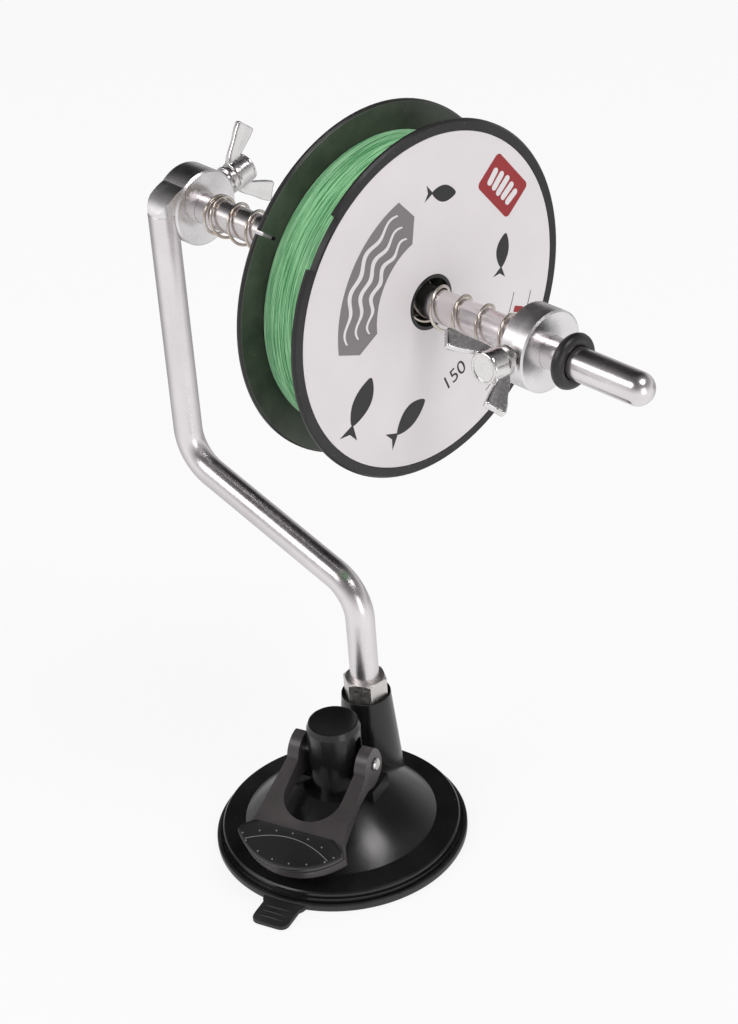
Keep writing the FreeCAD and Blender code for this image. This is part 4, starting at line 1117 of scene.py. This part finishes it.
def labelPoint(side, u, v, lift):
    face = labelHigh.x if side > 0 else rearLabelLow.x
    return Vector((face + side * lift * mm, axisY + side * u * mm, axisZ + v * mm))


def polar(reach, degrees):
    return reach * math.cos(math.radians(degrees)), reach * math.sin(math.radians(degrees))


def turnPoints(points, degrees, place, size=1):
    cosine, sine = polar(size, degrees)
    return [(place[0] + x * cosine - y * sine, place[1] + x * sine + y * cosine) for x, y in points]


def sectorShape(inner, outer, start, end, point=0, steps=28):
    # piece of a ring between two angles, with pointed ends if asked
    middle = (inner + outer) / 2
    angles = [start + (end - start) * step / steps for step in range(steps + 1)]
    return ([polar(outer, angle) for angle in angles] + [polar(middle, end + point)]
            + [polar(inner, angle) for angle in reversed(angles)] + [polar(middle, start - point)])


def waveShape(radius, start, end, swing=1.0, thick=0.95, waves=3.5, steps=60):
    upper, lower = [], []
    for step in range(steps + 1):
        share = step / steps
        angle = start + (end - start) * share
        reach = radius + swing * math.sin(share * waves * 2 * math.pi)
        body = thick * (0.35 + 0.65 * math.sin(math.pi * share))
        upper.append(polar(reach + body, angle))
        lower.append(polar(reach - body, angle))
    return upper + lower[::-1]


def fishShape(centre, length, heading, bend, steps=30):
    # simple fish: a pointed body and a forked tail
    back, belly = [], []
    for step in range(steps + 1):
        share = step / steps
        swell = math.sin(math.pi * share) ** 0.8
        back.append((0.5 - share * 0.78, 0.19 * swell + bend * share ** 2 + 0.02))
        belly.append((0.5 - share * 0.78, -0.17 * swell + bend * share ** 2 - 0.02))
    tail = [(-0.5, bend + 0.2), (-0.42, bend), (-0.5, bend - 0.2)]
    return turnPoints(back + tail + belly[::-1], heading, centre, length)


def blockShape(angle, distance, width, height, corner, steps=6):
    # rounded block whose foot faces the hub
    outline = []
    for signU, signV, start in ((1, 1, 0), (-1, 1, 90), (-1, -1, 180), (1, -1, 270)):
        for step in range(steps + 1):
            x, y = polar(corner, start + 90 * step / steps)
            outline.append((signU * (width / 2 - corner) + x, signV * (height / 2 - corner) + y))
    return turnPoints(outline, angle - 90, polar(distance, angle))


def digitShapes(place, heading):
    # the plain number, as a flat mesh read back into its faces' outlines
    curve = bpy.data.curves.new("digits", "FONT")
    curve.body = labelPrint["number"]
    curve.size = labelPrint["numberSize"]
    curve.align_x = curve.align_y = "CENTER"
    holder = addObject("digits", curve)
    bpy.context.view_layer.update()
    flat = bpy.data.meshes.new_from_object(holder.evaluated_get(bpy.context.evaluated_depsgraph_get()))
    bpy.data.objects.remove(holder)
    spots = turnPoints([vertex.co.xy for vertex in flat.vertices], heading, place)
    return [[spots[index] for index in face.vertices] for face in flat.polygons]


def printLayer(name, side, shapes, finishName, layer=1):
    mesh = bmesh.new()
    high = labelPrint["lift"] * layer
    low = high - labelPrint["lift"] - labelPrint["sink"]
    for shape in shapes:
        top = [mesh.verts.new(labelPoint(side, u, v, high)) for u, v in shape]
        bottom = [mesh.verts.new(labelPoint(side, u, v, low)) for u, v in shape]
        for corners in tessellate_polygon([[Vector((u, v, 0)) for u, v in shape]]):
            mesh.faces.new([top[corner] for corner in corners])
            mesh.faces.new([bottom[corner] for corner in reversed(corners)])
        skinBetween(mesh, [(top, bottom)])
    piece = keepMesh(name, mesh, finishes[finishName])
    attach(piece, "spool")


inner, outer, bandStart, bandEnd = labelPrint["band"]
waveIn, waveEnd = labelPrint["waveInset"]
waveFrom, waveTo = bandStart + waveEnd, bandEnd - waveEnd
whiteWaves = [waveShape(inner + waveIn + labelPrint["wavePitch"] * number, waveFrom, waveTo)
              for number in range(labelPrint["waves"])]
redAngle, redDistance = labelPrint["redAngle"], labelPrint["redDistance"]
barWidth, barHeight, barCorner = labelPrint["barSize"]
whiteBars = [blockShape(redAngle + offset, redDistance, barWidth,
                        barHeight - abs(offset) * labelPrint["barShrink"], barCorner)
             for offset in labelPrint["barAngles"]]
redBlock = blockShape(redAngle, redDistance, *labelPrint["redSize"])
redStrip = [blockShape(angle, *labelPrint["stripBlock"]) for angle in labelPrint["stripAngles"]]
blackFish = [fishShape(*fish) for fish in labelPrint["fish"]]
hairLines = [sectorShape(*hairLine) for hairLine in labelPrint["hairLines"]]
greyBand = sectorShape(inner, outer, bandStart, bandEnd, labelPrint["bandPoint"])
printLayer("front_print_grey", 1, [greyBand], "printGrey")
printLayer("front_print_white", 1, whiteWaves + whiteBars, "printWhite", 2)
printLayer("front_print_red", 1, [redBlock] + redStrip, "printRed")
frontDigits = digitShapes(*labelPrint["frontNumber"])
printLayer("front_print_black", 1, blackFish + hairLines + frontDigits, "printBlack")
rearBlocks = [sectorShape(*labelPrint["rearBlock"], start, start + 60, 5) for start in labelPrint["rearStarts"]]
printLayer("rear_print_grey", -1, rearBlocks, "printGrey")
printLayer("rear_print_black", -1, digitShapes(*labelPrint["rearNumber"]), "printBlack")
print("labels printed")
